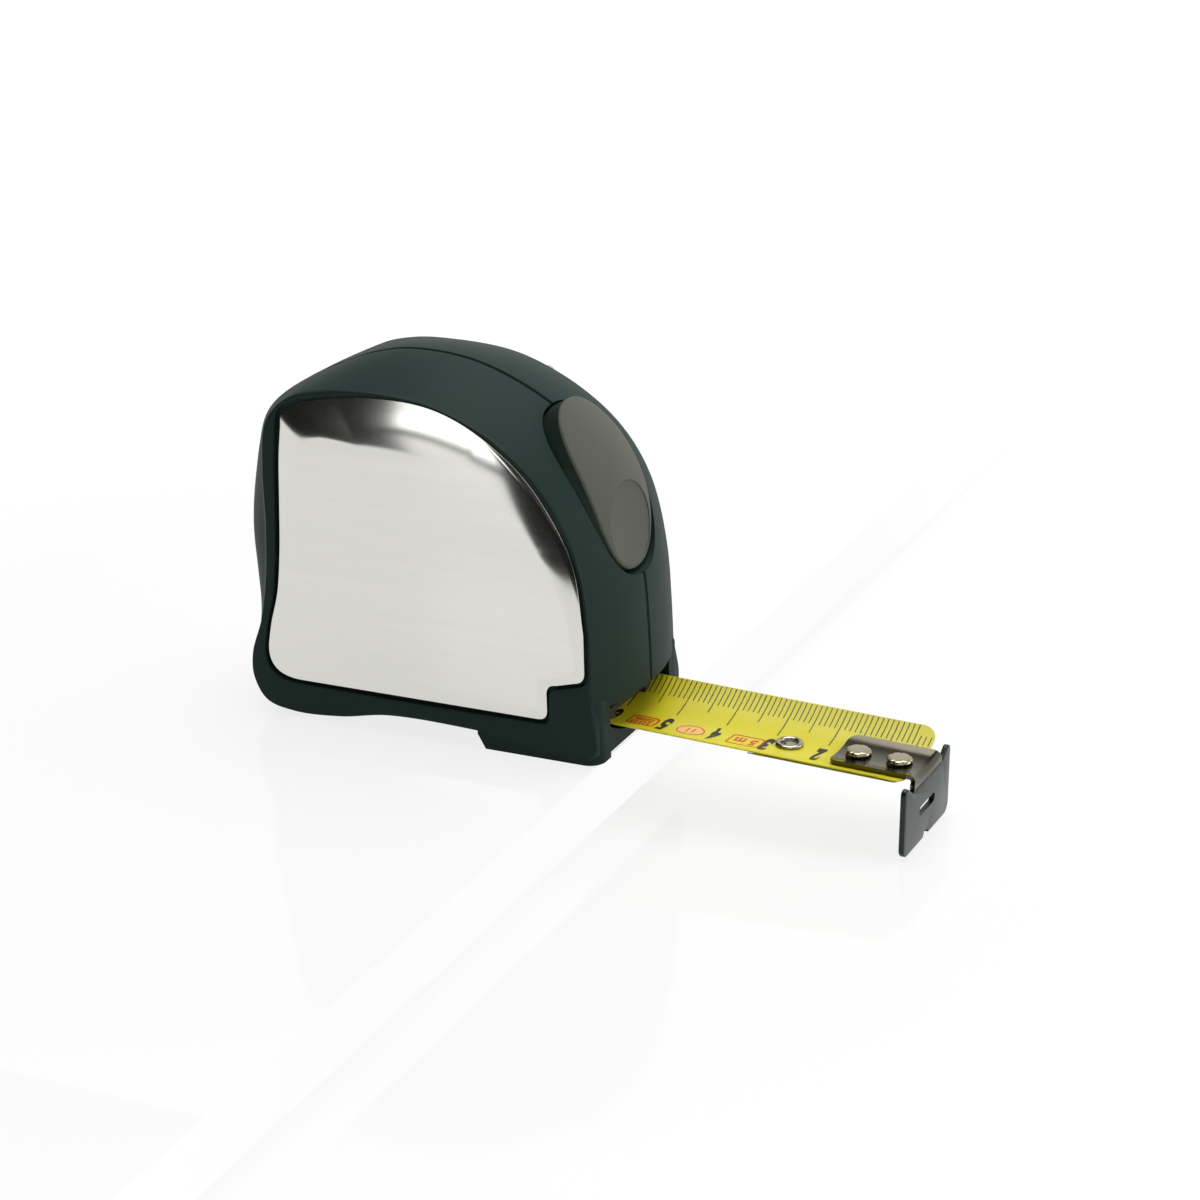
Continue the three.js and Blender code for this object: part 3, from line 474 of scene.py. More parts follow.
def case_rings(sign):
    """Rings from the plate's recess out over the rim and crown, down the seam and back inside."""
    a = case_angles
    rim = rim_radius(a)
    recess = np.minimum(plate_radius(a) + PLATE_GROOVE, rim - RIM_LEAST)
    room = fade(rim - recess, *RIM_ROOM)
    face = mix(room, *RIM_FACE)
    fillet = mix(room, *RIM_FILLET)
    edge = np.maximum(rim - mix(room, *RIM_EASE), recess + fillet + HAIR)
    rings = [polar(a, recess, RECESS), polar(a, recess, face - fillet)]
    for inward, short in rounding(4)[1:]:
        rings.append(polar(a, recess + fillet * inward, face - fillet * short))
    start = face - mix(room, *RIM_ROUND)
    begin = crown(a, start)
    step, fullness = 0.1, 0.8
    slope = (begin - crown(a, start - step)) / step
    knee = np.maximum(begin + slope * (face - start) * fullness, edge)
    for t in np.linspace(0, 1, 9):
        radius = (1 - t) ** 2 * edge + 2 * t * (1 - t) * knee + t ** 2 * begin
        rings.append(polar(a, above(a, radius, BELLY), face - t ** 2 * (face - start)))
    for t in np.linspace(1, 0, 26)[1:]:
        y = SEAM_HALF + (start - SEAM_HALF) * t
        rings.append(polar(a, above(a, crown(a, y), BELLY), y))
    for y, depth in ((SEAM_HALF * 0.4, SEAM_DEPTH * 0.8), (HAIR, SEAM_DEPTH)):
        rings.append(polar(a, above(a, crown(a, 0), BELLY) - depth, y))
    for y in (HAIR, CAVITY_HALF / 3, CAVITY_HALF * 2 / 3, CAVITY_HALF):
        rings.append(polar(a, cavity(a, y), y))
    return on_side(rings, sign)


def nose_cheek():
    """The squared block round the mouth, its corners rounded in plan and its top edge eased."""
    back, set_in, ease, corner_ease = NOSE_FRONT - 9.3, 0.05, 0.8, 0.6
    rings = []
    for inward, short in rounding(5):
        inset = ease * inward
        half = CASE_HALF - set_in - inset
        radius = NOSE_CORNER - inset * corner_ease
        x, y = NOSE_FRONT - inset - radius, half - radius
        plan = np.vstack([[(back, -half)], arc(x, -y, radius, -math.pi / 2, 0, 10),
                          arc(x, y, radius, 0, math.pi / 2, 10), [(back, half)]])
        rings.append(np.column_stack([plan, np.full(len(plan), NOSE_TOP - ease * short)]))
    base = rings[0] * (1, 1, 0) + (0, 0, HAIR)
    middle = (NOSE_FRONT - 5, 0)
    return ring_solid("nose", [base, *rings], (*middle, HAIR), (*middle, NOSE_TOP))


def shoe():
    """The low foot of each side, with a slanted step behind."""
    front, top, half = NOSE_FRONT - 5, FOOT_RISE + 2, CASE_HALF - 0.08
    side = [(RAIL_START + 1.6, 0), (front, 0), (front, top), (RAIL_START + 0.2, top),
            (RAIL_START, FOOT_RISE - 0.2)]
    return prism("shoe", side, -half, half)


def mouth_tools():
    """The opening the blade leaves by, the rivets' groove and the belly channel."""
    reach = math.asin(MOUTH_HALF / LIP_CURVE)
    lip = arc(0, CURVE_CENTRE, LIP_CURVE, -math.pi / 2 - reach, -math.pi / 2 + reach, 32)
    top = MOUTH_TOP + HAIR
    opening = np.vstack([lip, [(MOUTH_HALF, top), (-MOUTH_HALF, top)]])
    back = NOSE_FRONT - LIP_LENGTH - 3
    groove_half = EYELET_FLANGE + 0.4
    return [
        prism("mouth", opening, back, CASE_FRONT + 2, "x"),
        block("groove", (back + 2, -groove_half, FLOOR - 0.1),
              (NOSE_FRONT + 1, groove_half, TROUGH_HEIGHT)),
        block("belly", (RAIL_START - 2, -MOUTH_HALF, -1), (NOSE_FRONT + 5, MOUTH_HALF, RAIL_HEIGHT)),
    ]


def case_half(name, sign):
    """One side's shell and its share of the nose, cut for the blade, the button and the screws."""
    outside = ring_solid(name, case_rings(sign), (0, sign * RECESS, AXIS),
                         (0, sign * CAVITY_HALF, AXIS))
    far, ahead, below = CASE_HALF + 5, CASE_FRONT + 5, -5
    cut(outside, block("trim", (NOSE_FRONT - 0.4, -far, below), (ahead, far, MOUTH_TOP)))
    nose = join(nose_cheek(), shoe())
    seam = 0.1
    y0, y1 = (-far, seam) if sign > 0 else (-seam, far)
    cut(nose, block("other_side", (CASE_REAR, y0, below), (ahead, y1, CASE_TOP)))
    room, above_mouth = 0.05, 20
    half = CAVITY_HALF + room
    cut(nose, block("hollow", (0, -half, FLOOR - room),
                    (NOSE_FRONT - LIP_LENGTH + room, half, above_mouth)))
    join(outside, nose)
    cut(outside, *mouth_tools(), button_hole())
    if sign > 0:
        holes = [rod("hole", x, z, SCREW_HOLE_RADIUS, RECESS - SCREW_HOLE_DEPTH, RECESS + 1)
                 for x, z in SCREWS]
        cut(outside, *holes, rod("hole", 0, AXIS, CLIP_HOLE_RADIUS, 10, RECESS + 1))
    return outside


# -------------------- side plates


def side_plate(name, sign):
    """A steel plate whose face rolls back toward the case, with a turned-down lip at the front."""
    a = case_angles
    rim = plate_radius(a)
    # How far each point of the edge belongs to the rolled top, the rolled front and the lip.
    top = np.clip(np.sin(a) * 1.15, 0, 1) ** 1.5
    front = np.clip(np.cos(a), 0, 1) * fade(np.sin(a), -0.45, 0.6) * (1 - top)
    lipped = fade(np.cos(a), 0.45, 0.3) * fade(np.sin(a), -0.2, 0.3)
    width, drop = (ROLL[k] + ROLL_AT_TOP[k] * top + ROLL_AT_FRONT[k] * front for k in range(2))
    drop = drop - ROLL_LESS_AT_LIP * lipped
    lip_width, lip_drop = (LIP[k] + LIP_AT_FRONT[k] * lipped for k in range(2))
    inner_face, face = RECESS + HAIR, CASE_HALF - PLATE_SET_BACK
    outer, shelf = rim - PLATE_EDGE, face - drop - lip_drop
    rings = [polar(a, rim - HAIR, inner_face), polar(a, rim, shelf - PLATE_EDGE)]
    for inward, short in rounding(4)[1:]:
        rings.append(polar(a, rim - PLATE_EDGE * inward, shelf - PLATE_EDGE * short))
    for t in (0.1, 0.5, 0.9):
        rings.append(polar(a, outer - lip_width * t, shelf + lip_drop * t))
    inner = outer - lip_width
    for t in np.linspace(0, 1, 22)[1:]:
        rings.append(polar(a, inner - width * t, face - drop * (1 - t) ** ROLL_POWER))
    for t in (0.75, 0.5, 0.25):
        rings.append(polar(a, (inner - width) * t, face))
    plate = ring_solid(name, on_side(rings, sign), (0, sign * inner_face, AXIS),
                       (0, sign * face, AXIS), 40)
    if sign > 0:
        cut(plate, rod("hole", 0, AXIS, CLIP_HOLE_RADIUS, inner_face - 1, face + 1))
    return plate


# -------------------- lock button


def button_share(angle):
    """How far down the button an angle is, 0 at its high end and 1 at its low end."""
    return np.clip((BUTTON_MIDDLE + BUTTON_REACH - angle) / (2 * BUTTON_REACH), 0, 1)


def button_rise(angle, y):
    """How far the button's face stands out of the case: proud above, sunk below."""
    share = button_share(angle)
    side = (y / BUTTON_HALF_WIDTH) ** 2
    return BUTTON_LIFT * (1 - share) * (1 - BUTTON_SIDE_DROP * side) - BUTTON_SINK * share ** 3


def button_reach(ray, inset):
    """How far the button's oval, less an inset, reaches from the dish's middle along rays."""
    loop = oval(BUTTON_REACH * BUTTON_SCALE - inset, BUTTON_HALF_WIDTH - inset, BUTTON_FULLNESS, 720)
    return radius_by_angle(loop + ((BUTTON_MIDDLE - DISH_MIDDLE) * BUTTON_SCALE, 0), (0, 0))(ray)


def button_place(ray, reach):
    """The angle about the drum axis and the y of points at a reach from the dish's middle."""
    return DISH_MIDDLE + reach * np.cos(ray) / BUTTON_SCALE, reach * np.sin(ray)


def off_crown(place, height):
    """Points at a height off the case's crown."""
    angle, y = place
    return polar(angle, crown(angle, y) + height, y)


def button_hole():
    """The opening in the case, a little larger than the button."""
    ray = np.linspace(-math.pi, math.pi, 120, endpoint=False)
    reach = button_reach(ray, -BUTTON_GAP)
    heights = (-7, 6)
    rings = [off_crown(button_place(ray, reach), height) for height in heights]
    middles = [off_crown(button_place(ray, 0 * reach), height)[0] for height in heights]
    return ring_solid("opening", rings, *middles)


def lock_button():
    """A thumb pad with drafted sides, a rounded rim and a round dish in its low end; its sides are the
    face's plastic, coloured a darker green as painted shade.
    """
    ray = np.linspace(-math.pi, math.pi, 200, endpoint=False)
    base = button_reach(ray, 0)
    share = button_share(button_place(ray, base)[0])
    draft_least, rim_least, side_least, foot_depth, dish_side = 0.35, 0.7, 0.8, 0.3, 0.1
    face = base + (button_reach(ray, BUTTON_DRAFT) - base) * (draft_least + (1 - share))
    dish = np.minimum(DISH_RADIUS, face - rim_least)

    def ring(reach, sink):
        place = button_place(ray, reach)
        return off_crown(place, button_rise(*place) - sink)

    rings = [ring(dish * t - dish_side, DISH_STEP + DISH_DEPTH * (1 - t ** 2))
             for t in np.linspace(0, 1, 12)[1:]]
    rings.append(ring(dish, 0))
    rings += [ring(dish + (face - BUTTON_EASE - dish) * t, 0) for t in np.linspace(0, 1, 14)[1:]]
    rings += [ring(face - BUTTON_EASE * short, BUTTON_EASE * inward)
              for inward, short in rounding(5)[1:]]
    painted_shade_first = len(rings) - 1
    foot = button_place(ray, base)
    rings.append(off_crown(foot, np.minimum(button_rise(*foot) - side_least, -foot_depth)))
    rings.append(off_crown(foot, -BUTTON_THICKNESS))
    middle = ring(0 * base, DISH_STEP + DISH_DEPTH)[0]
    under = off_crown(button_place(ray, 0 * base), -BUTTON_THICKNESS)[0]
    pad = ring_solid("button_pad", rings, middle, under, 30)
    # The side band takes the second look, a darker green that is painted shade.
    for polygon in pad.data.polygons:
        polygon.material_index = int(0 <= polygon.index - painted_shade_first * len(ray) < 2 * len(ray))
    return pad


# -------------------- blade


def pitched(u, y, w):
    """Blade coordinates (out of the mouth, across, up) as points of the case frame."""
    u, y, w = np.broadcast_arrays(np.asarray(u, float), y, w)
    return np.stack([NOSE_FRONT + u * math.cos(BLADE_PITCH) + w * math.sin(BLADE_PITCH), y,
                     w * math.cos(BLADE_PITCH) - u * math.sin(BLADE_PITCH)], -1)


def on_curve(u, s, radius):
    """A point at u and at arc distance s from the middle, on a radius of the blade's curve."""
    angle = np.asarray(s, float) / BLADE_CURVE
    return pitched(u, radius * np.sin(angle), CURVE_CENTRE - radius * np.cos(angle))


def curved_strip(name, upper, under, half, u0, u1, corner):
    """A curved strip of spring steel with rounded far corners."""
    s = half * np.sin(np.linspace(-math.pi / 2, math.pi / 2, 61))
    over = np.maximum(np.abs(s) - (half - corner), 0)
    end = u1 - corner + np.sqrt(np.maximum(corner ** 2 - over ** 2, 0))
    share = np.linspace(0, 1, 50)[:, None]
    u = u0 + (end[None, :] - u0) * share
    grid = [on_curve(u, np.broadcast_to(s, u.shape), radius) for radius in (upper, under)]
    return sheet(name, grid[0], grid[1])


def blade_holes():
    """Tools for the rivets' and the eyelet's holes, square to the blade."""
    tools = []
    for u, radius in ((RIVETS[0], RIVET_SHANK), (RIVETS[1], RIVET_SHANK), (EYELET, EYELET_RADIUS)):
        plan = circle(0, 0, radius + SEAT)
        ends = [pitched(u + plan[:, 0], plan[:, 1], w) for w in (-2, 9)]
        tools.append(piece("hole", np.vstack(ends), prism_faces(len(plan))))
    return tools


# -------------------- printing on the blade


def printed(name, patches, lift=0.03):
    """Flat patches of (u, s) points laid on the blade's upper face."""
    at = np.vstack([points for points, _ in patches])
    firsts = np.cumsum([0] + [len(points) for points, _ in patches]).tolist()
    faces = [[first + i for i in face] for first, (_, own) in zip(firsts, patches) for face in own]
    return piece(name, on_curve(at[:, 0], at[:, 1], BLADE_CURVE - lift), faces)


def bar(u0, u1, s0, s1):
    """A straight bar, divided across so that it follows the blade."""
    steps = 4
    points = [(u, s) for u in (u0, u1) for s in np.linspace(s0, s1, steps + 1)]
    return points, [[i, i + 1, i + steps + 2, i + steps + 1] for i in range(steps)]


def hoop(u, s, half_u, half_s, line, power=2):
    """A closed outline band: an oval, or near a rectangle at a high power."""
    loops = [oval(half_u - inset, half_s - inset, power) + (u, s) for inset in (0, line)]
    return np.vstack(loops), ring_faces(2, len(loops[0]))


def disc(u, s, half_u, half_s):
    """A filled oval, in rings so that it follows the blade."""
    loops = [oval(half_u * share, half_s * share) + (u, s) for share in (1, 0.75, 0.5, 0.25, 0.05)]
    count, total = len(loops[0]), len(loops) * len(loops[0])
    return np.vstack(loops), ring_faces(len(loops), count) + [list(range(total - count, total))]


def ticks():
    """A mark every millimetre from the hook's outer face, longer every five and ten."""
    line, edge, edge_by_corner = 0.2, 12.35, 10
    reach_one, reach_five, reach_ten = 7.7, 5.3, 2.5
    patches = []
    for count in range(BLADE_EXTENSION + 8):
        u = BLADE_EXTENSION - count
        inner = reach_one if count % 5 else reach_five if count % 10 else reach_ten
        outer = edge if u < BLADE_SPAN - BLADE_CORNER else edge_by_corner
        if u < BLADE_SPAN - 2 * line:
            patches.append(bar(u - line / 2, u + line / 2, inner, outer))
    return patches


def lettering(text, u, s, height, width, weight):
    """Plain text as a patch, its top toward the near edge, so that it reads from the far side."""
    curve = bpy.data.curves.new("text", "FONT")
    curve.body = text
    curve.offset = weight
    curve.resolution_u = 6
    obj = bpy.data.objects.new("text", curve)
    bpy.context.scene.collection.objects.link(obj)
    view = bpy.context.evaluated_depsgraph_get()
    mesh = bpy.data.meshes.new_from_object(obj.evaluated_get(view))
    edit = bmesh.new()
    edit.from_mesh(mesh)
    heights = [v.co.y for v in edit.verts]
    for level in np.linspace(min(heights), max(heights), 8)[1:-1]:
        bmesh.ops.bisect_plane(edit, geom=[*edit.verts, *edit.edges, *edit.faces],
                               plane_co=(0, level, 0), plane_no=(0, 1, 0))
    bmesh.ops.triangulate(edit, faces=edit.faces)
    points = np.array([v.co[:2] for v in edit.verts])
    faces = [[v.index for v in face.verts] for face in edit.faces]
    edit.free()
    bpy.data.objects.remove(obj)
    low, high = points.min(0), points.max(0)
    share = (points - low) / (high - low)
    return np.stack([u + width * (0.5 - share[:, 0]), s - height * share[:, 1]], 1), faces


# The red marks stand at these centimetres of the scale, a little to the near side of the middle.
CLASS_U, LENGTH_U, MAKER_U = (BLADE_EXTENSION - 10 * n for n in (4.5, 3.42, 5.45))
MARK_S = -2.5


def red_marks():
    """Plain stand-ins: two bars in an oval, the length in a frame, and a barred frame."""
    class_bars = [bar(CLASS_U + u0, CLASS_U + u1, MARK_S - 1.1, MARK_S + 1.1)
                  for u0, u1 in ((-0.75, -0.4), (0.4, 0.75))]
    pitch = 0.8
    short_bars = [bar(MAKER_U - 2.0 + pitch * k, MAKER_U - 1.45 + pitch * k, MARK_S - 1.8, MARK_S - 0.1)
                  for k in range(5)]
    long_bars = [bar(MAKER_U - 1.9, MAKER_U + 1.8, MARK_S + 0.3 + pitch * k, MARK_S + 0.8 + pitch * k)
                 for k in range(2)]
    return [
        hoop(CLASS_U, MARK_S, 2.7, 2.45, 0.28), *class_bars,
        hoop(LENGTH_U, MARK_S, 3.2, 2.5, 0.28, 8),
        lettering("5 m", LENGTH_U, MARK_S + 1.5, 3.0, 4.4, 0.035),
        hoop(MAKER_U, MARK_S, 2.8, 2.5, 0.38, 5), *short_bars, *long_bars,
    ]


# -------------------- hook


def hook_side():
    """Half of the hook plate's outline, from the notch in its foot up to its raised shoulder."""
    half, bottom, shoulder = HOOK_WIDTH / 2, HOOK_TOP - HOOK_DROP, HOOK_TOP + 1
    foot, tip, notch = 2, 1.1, 0.9
    return np.vstack([
        [(0, bottom + notch), (0.8, bottom + notch), (1.4, bottom)],
        arc(half - foot, bottom + foot, foot, -math.pi / 2, 0, 10),
        arc(half - tip, shoulder - tip, tip, 0, math.pi * 0.78, 10),
        [(half - 3.1, HOOK_TOP - 0.2), (half - 3.7, HOOK_TOP - 0.75), (half - 4.3, HOOK_TOP - 0.75),
         (TAB_WIDTH / 2 + 0.3, HOOK_TOP - 0.3)],
    ])


def outward(outline):
    """The outward direction at each point of a counter-clockwise outline."""
    unit = lambda v: v / np.maximum(np.linalg.norm(v, axis=1, keepdims=True), 1e-9)
    mean = unit(np.roll(outline, -1, 0) - outline) + unit(outline - np.roll(outline, 1, 0))
    return unit(np.stack([mean[:, 1], -mean[:, 0]], 1))


def eased_plate(name, outline, low, high, ease):
    """A plate with its edges rounded, square to the blade: outline in (y, w), pushed along u."""
    normal = outward(outline)
    rings = []
    for face, way, steps in ((low, 1, rounding(3)[::-1]), (high, -1, rounding(3))):
        for inward, short in steps:
            loop = outline - normal * ease * inward
            rings.append(pitched(face + way * ease * short, loop[:, 0], loop[:, 1]))
    count = len(outline)
    total = len(rings) * count
    faces = ring_faces(len(rings), count) + [list(range(count)), list(range(total - count, total))]
    return piece(name, np.vstack(rings), faces)


def hook_face():
    """The upright plate of the end hook, with its slot."""
    side = hook_side()
    outline = np.vstack([side, side[:0:-1] * (-1, 1)])
    plate = eased_plate("hook_plate", outline, BLADE_EXTENSION - HOOK_THICKNESS, BLADE_EXTENSION,
                        HOOK_EASE)
    middle, r = HOOK_TOP - SLOT_DROP, SLOT_HEIGHT / 2
    slot = np.vstack([arc(SLOT_WIDTH / 2 - r, middle, r, -math.pi / 2, math.pi / 2, 10),
                      arc(-SLOT_WIDTH / 2 + r, middle, r, math.pi / 2, 3 * math.pi / 2, 10)])
    ends = [pitched(u, slot[:, 0], slot[:, 1]) for u in (BLADE_EXTENSION - 3, BLADE_EXTENSION + 1)]
    return cut(plate, piece("slot", np.vstack(ends), prism_faces(len(slot))))


def hook_tab():
    """The curved tab on the blade and the bend that turns it down into the plate."""
    across = np.sin(np.linspace(-math.pi / 2, math.pi / 2, 33))
    start, bend_start = BLADE_EXTENSION - TAB_LENGTH, BLADE_EXTENSION - TAB_OUTER_BEND
    foot = TROUGH_HEIGHT - 1.2
    rows = [(start + (bend_start - start) * share, 0, 0) for share in np.linspace(0, 1, 24) ** 1.5]
    rows += [(bend_start, turn, 0) for turn in np.linspace(0, math.pi / 2, 9)[1:]]
    rows += [(bend_start, math.pi / 2, drop) for drop in (0.5, 1)]

    def skin(radius, bend):
        """One face of the tab: a row of points for each place, turn of the bend and drop."""
        grid = []
        for u, turn, drop in rows:
            half = TAB_WIDTH / 2 + TAB_FLARE * (turn / (math.pi / 2)) ** 2
            short = TAB_CORNER - (u - start)
            if short > 0:
                half = TAB_WIDTH / 2 - TAB_CORNER + math.sqrt(TAB_CORNER ** 2 - short ** 2)
            y = half * across
            height = CURVE_CENTRE - np.sqrt(radius ** 2 - (y * min(1, TAB_WIDTH / 2 / half)) ** 2)
            level = height - bend * (1 - math.cos(turn))
            grid.append(pitched(u + bend * math.sin(turn), y, level * (1 - drop) + foot * drop))
        return np.array(grid)

    return sheet("hook_tab", skin(BLADE_CURVE - SEAT - TAB_THICKNESS, TAB_OUTER_BEND),
                 skin(BLADE_CURVE - SEAT, TAB_INNER_BEND), 40)


def stand_on_blade(obj, u):
    """A part made about the upright axis, moved to u on the blade and square to it."""
    turn = Matrix.Rotation(BLADE_PITCH, 4, "Y")
    at = Vector((NOSE_FRONT, 0, 0)) + turn @ Vector((u, 0, 0))
    obj.data.transform(Matrix.Translation(at * MM) @ turn)
    tidy(obj, 40)
    return obj


def hook_rivet(name, u):
    """A rivet with a flat top and a notched rim."""
    under = CURVE_CENTRE - STRIP_UNDER - SEAT
    over = TROUGH_HEIGHT + SEAT + TAB_THICKNESS + 2 * SEAT + 0.1
    a = np.linspace(0, 2 * math.pi, 112, endpoint=False)
    notched = RIVET_HEAD * (1 - RIVET_NOTCH * (0.5 + 0.5 * np.cos(RIVET_NOTCHES * a)) ** 3)
    foot = [(RIVET_HEAD * 0.9, under - RIVET_TAIL), (RIVET_HEAD, under - RIVET_TAIL * 0.6),
            (RIVET_HEAD, under), (RIVET_SHANK, under), (RIVET_SHANK, over)]
    rim = [(0.96, 0), (1, 0.15), (0.97, 0.4), (0.9, 0.58), (0.82, 0.66)]
    rings = [level_ring(radius, height, a) for radius, height in foot]
    rings += [level_ring(notched * share, over + height, a) for share, height in rim]
    rings += [level_ring(RIVET_HEAD * share, over + RIVET_HEAD_HEIGHT, a) for share in (0.74, 0.3)]
    made = ring_solid(name, rings, (0, 0, under - RIVET_TAIL), (0, 0, over + RIVET_HEAD_HEIGHT), 40)
    return stand_on_blade(made, u)


def rolled_eyelet():
    """A rolled ring in the blade's hole."""
    top = TROUGH_HEIGHT + 2 * SEAT + 0.15
    bottom = CURVE_CENTRE - STRIP_UNDER - SEAT
    bore = EYELET_RADIUS - EYELET_WALL
    roll = arc(0, 0, 1, 0, math.pi, 10) * ((EYELET_FLANGE - bore) / 2, EYELET_ROLL)
    loop = [(EYELET_RADIUS, top), *(roll + ((EYELET_FLANGE + bore) / 2, top)),
            (bore, bottom - RIVET_TAIL), (EYELET_FLANGE, bottom - RIVET_TAIL),
            (EYELET_FLANGE, bottom), (EYELET_RADIUS, bottom)]
    a = np.linspace(0, 2 * math.pi, 64, endpoint=False)
    points = np.vstack([level_ring(radius, height, a) for radius, height in loop])
    faces = np.array(ring_faces(len(loop) + 1, len(a))) % len(points)
    return stand_on_blade(piece("eyelet_ring", points, faces.tolist(), 40), EYELET)


# -------------------- materials

looks = {}


def srgb(colour):
    """A colour of 0-255 display values as linear light."""
    shares = [c / 255 for c in colour]
    return tuple(c / 12.92 if c <= 0.04045 else ((c + 0.055) / 1.055) ** 2.4 for c in shares) + (1.0,)


def feed(tree, node, inputs):
    """Gives each input of a shader node a plain value or the output that feeds it."""
    for socket, value in inputs.items():
        if isinstance(value, bpy.types.NodeSocket):
            tree.links.new(value, node.inputs[socket])
        else:
            node.inputs[socket].default_value = value


def add_node(tree, kind, inputs=None, **settings):
    node = tree.nodes.new("ShaderNode" + kind)
    for name, value in settings.items():
        setattr(node, name, value)
    feed(tree, node, inputs or {})
    return node


def new_material(name):
    made = bpy.data.materials.new(name)
    made.use_nodes = True
    return made, made.node_tree, made.node_tree.nodes["Principled BSDF"]


def look(name, display_colour, roughness, metallic=0, specular=0.5, coat=0, grain=0,
         grain_size=900, stretch=(1, 1, 1), tint=0):
    """A plain finish, with fine grain in its height and colour where asked."""
    looks[name], tree, shader = new_material(name)
    colour = srgb(display_colour)
    feed(tree, shader, {"Base Color": colour, "Roughness": roughness, "Metallic": metallic,
                        "Specular IOR Level": specular, "Coat Weight": coat, "Coat Roughness": 0.15})
    if grain or tint:
        place = add_node(tree, "TexCoord").outputs["Object"]
        scaled = add_node(tree, "Mapping", {"Vector": place, "Scale": stretch}).outputs["Vector"]
        noise = add_node(tree, "TexNoise", {"Vector": scaled, "Scale": grain_size, "Detail": 3})
    if grain:
        bump = add_node(tree, "Bump", {"Strength": grain, "Distance": 0.0001,
                                       "Height": noise.outputs["Fac"]})
        feed(tree, shader, {"Normal": bump.outputs["Normal"]})
    if tint:
        darker, lighter = (tuple(min(c * share, 1) for c in colour[:3]) + (1,)
                           for share in (1 - tint, 1 + tint))
        shade = add_node(tree, "Mix", {"A": darker, "B": lighter, "Factor": noise.outputs["Fac"]},
                         data_type="RGBA")
        feed(tree, shader, {"Base Color": shade.outputs["Result"]})


look("case_plastic", (31, 49, 45), 0.55, specular=0.1, grain=0.12, grain_size=2500)
look("side_steel", (219, 218, 212), 0.12, 1, grain=0.025, grain_size=700, stretch=(0.03, 0.05, 0.8),
     tint=0.035)
look("button_plastic", (92, 94, 87), 0.5, specular=0.05, grain=0.08, grain_size=2500)
# Painted shade: the button's sides are the face's plastic, given this darker green for the shade on
# walls turned from the light.
look("button_side", (34, 47, 40), 0.5, specular=0.12, grain=0.1, grain_size=2500)
look("blade_yellow", (222, 211, 40), 0.35, specular=0.3, coat=0.1)
look("coil_yellow", (226, 214, 66), 0.35, specular=0.4)
look("strip_steel", (150, 148, 60), 0.4, specular=0.4)
look("hook_nickel", (49, 56, 51), 0.3, 1, grain=0.06)
look("tab_nickel", (86, 82, 70), 0.13, 1)
look("rivet_steel", (168, 160, 138), 0.26, 1)
look("eyelet_steel", (170, 165, 150), 0.2, 1)
look("drum_plastic", (185, 182, 172), 0.5)
look("post_plastic", (185, 182, 172), 0.5)
look("spring_steel", (92, 100, 110), 0.3, 1)
look("wire_steel", (180, 180, 176), 0.3, 1)
look("screw_steel", (190, 190, 186), 0.28, 1)
look("clip_steel", (196, 196, 192), 0.25, 1, grain=0.06, grain_size=700, stretch=(1, 1, 0.04))
look("pad_rubber", (34, 34, 34), 0.8, grain=0.1)
look("black_ink", (22, 22, 16), 0.4, specular=0.4)
look("olive_ink", (70, 66, 22), 0.4, specular=0.4)
look("red_ink", (214, 74, 28), 0.4, specular=0.4)
look("peach_ink", (246, 196, 112), 0.4, specular=0.4)


def finish(obj, finishes, body, stands_for=()):
    """Gives a piece its material, or several for its face groups, and the body it rides on."""
    groups = [face.material_index for face in obj.data.polygons]
    obj.data.materials.clear()
    for name in finishes.split():
        obj.data.materials.append(looks[name])
    obj.data.polygons.foreach_set("material_index", groups)
    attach(obj, body)
    if stands_for:
        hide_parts(*stands_for)
    return obj


# -------------------- the pieces

SIDES = {"near": -1, "far": 1}
for side, sign in SIDES.items():
    finish(case_half("shell_" + side, sign), "case_plastic", "case", ["case_" + side])
for side, sign in SIDES.items():
    finish(side_plate("plate_" + side, sign), "side_steel", "case", ["side_plate_" + side])
finish(lock_button(), "button_plastic button_side", "button", ["lock_button"])

blade = curved_strip("blade_face", BLADE_CURVE, BLADE_UNDER, BLADE_WIDTH / 2, -BLADE_TAIL,
                     BLADE_SPAN - BLADE_END_GAP, BLADE_CORNER)
finish(cut(blade, *blade_holes()), "blade_yellow", "blade", ["blade"])
strip = curved_strip("blade_backing", BLADE_UNDER + SEAT, STRIP_UNDER, STRIP_WIDTH / 2,
                     BLADE_EXTENSION - STRIP_LENGTH, BLADE_SPAN - 1, STRIP_CORNER)
finish(cut(strip, *blade_holes()), "strip_steel", "blade", ["blade_strip"])

finish(printed("scale_marks", ticks()), "olive_ink", "blade")
numbers = [lettering(str(n), BLADE_EXTENSION - 10 * n - 0.3, 1.0, 6.6, 1.7, 0.05) for n in range(2, 7)]
finish(printed("scale_numbers", numbers, 0.035), "black_ink", "blade")
finish(printed("class_ground", [disc(CLASS_U, MARK_S, 2.55, 2.3)], 0.028), "peach_ink", "blade")
finish(printed("red_marks", red_marks(), 0.04), "red_ink", "blade")

finish(hook_face(), "hook_nickel", "hook", ["end_hook"])
finish(hook_tab(), "tab_nickel", "hook", ["end_hook"])
finish(hook_rivet("rivet_front", RIVETS[0]), "rivet_steel", "blade", ["hook_rivet_1"])
finish(hook_rivet("rivet_back", RIVETS[1]), "rivet_steel", "blade", ["hook_rivet_2"])
finish(rolled_eyelet(), "eyelet_steel", "blade", ["eyelet"])

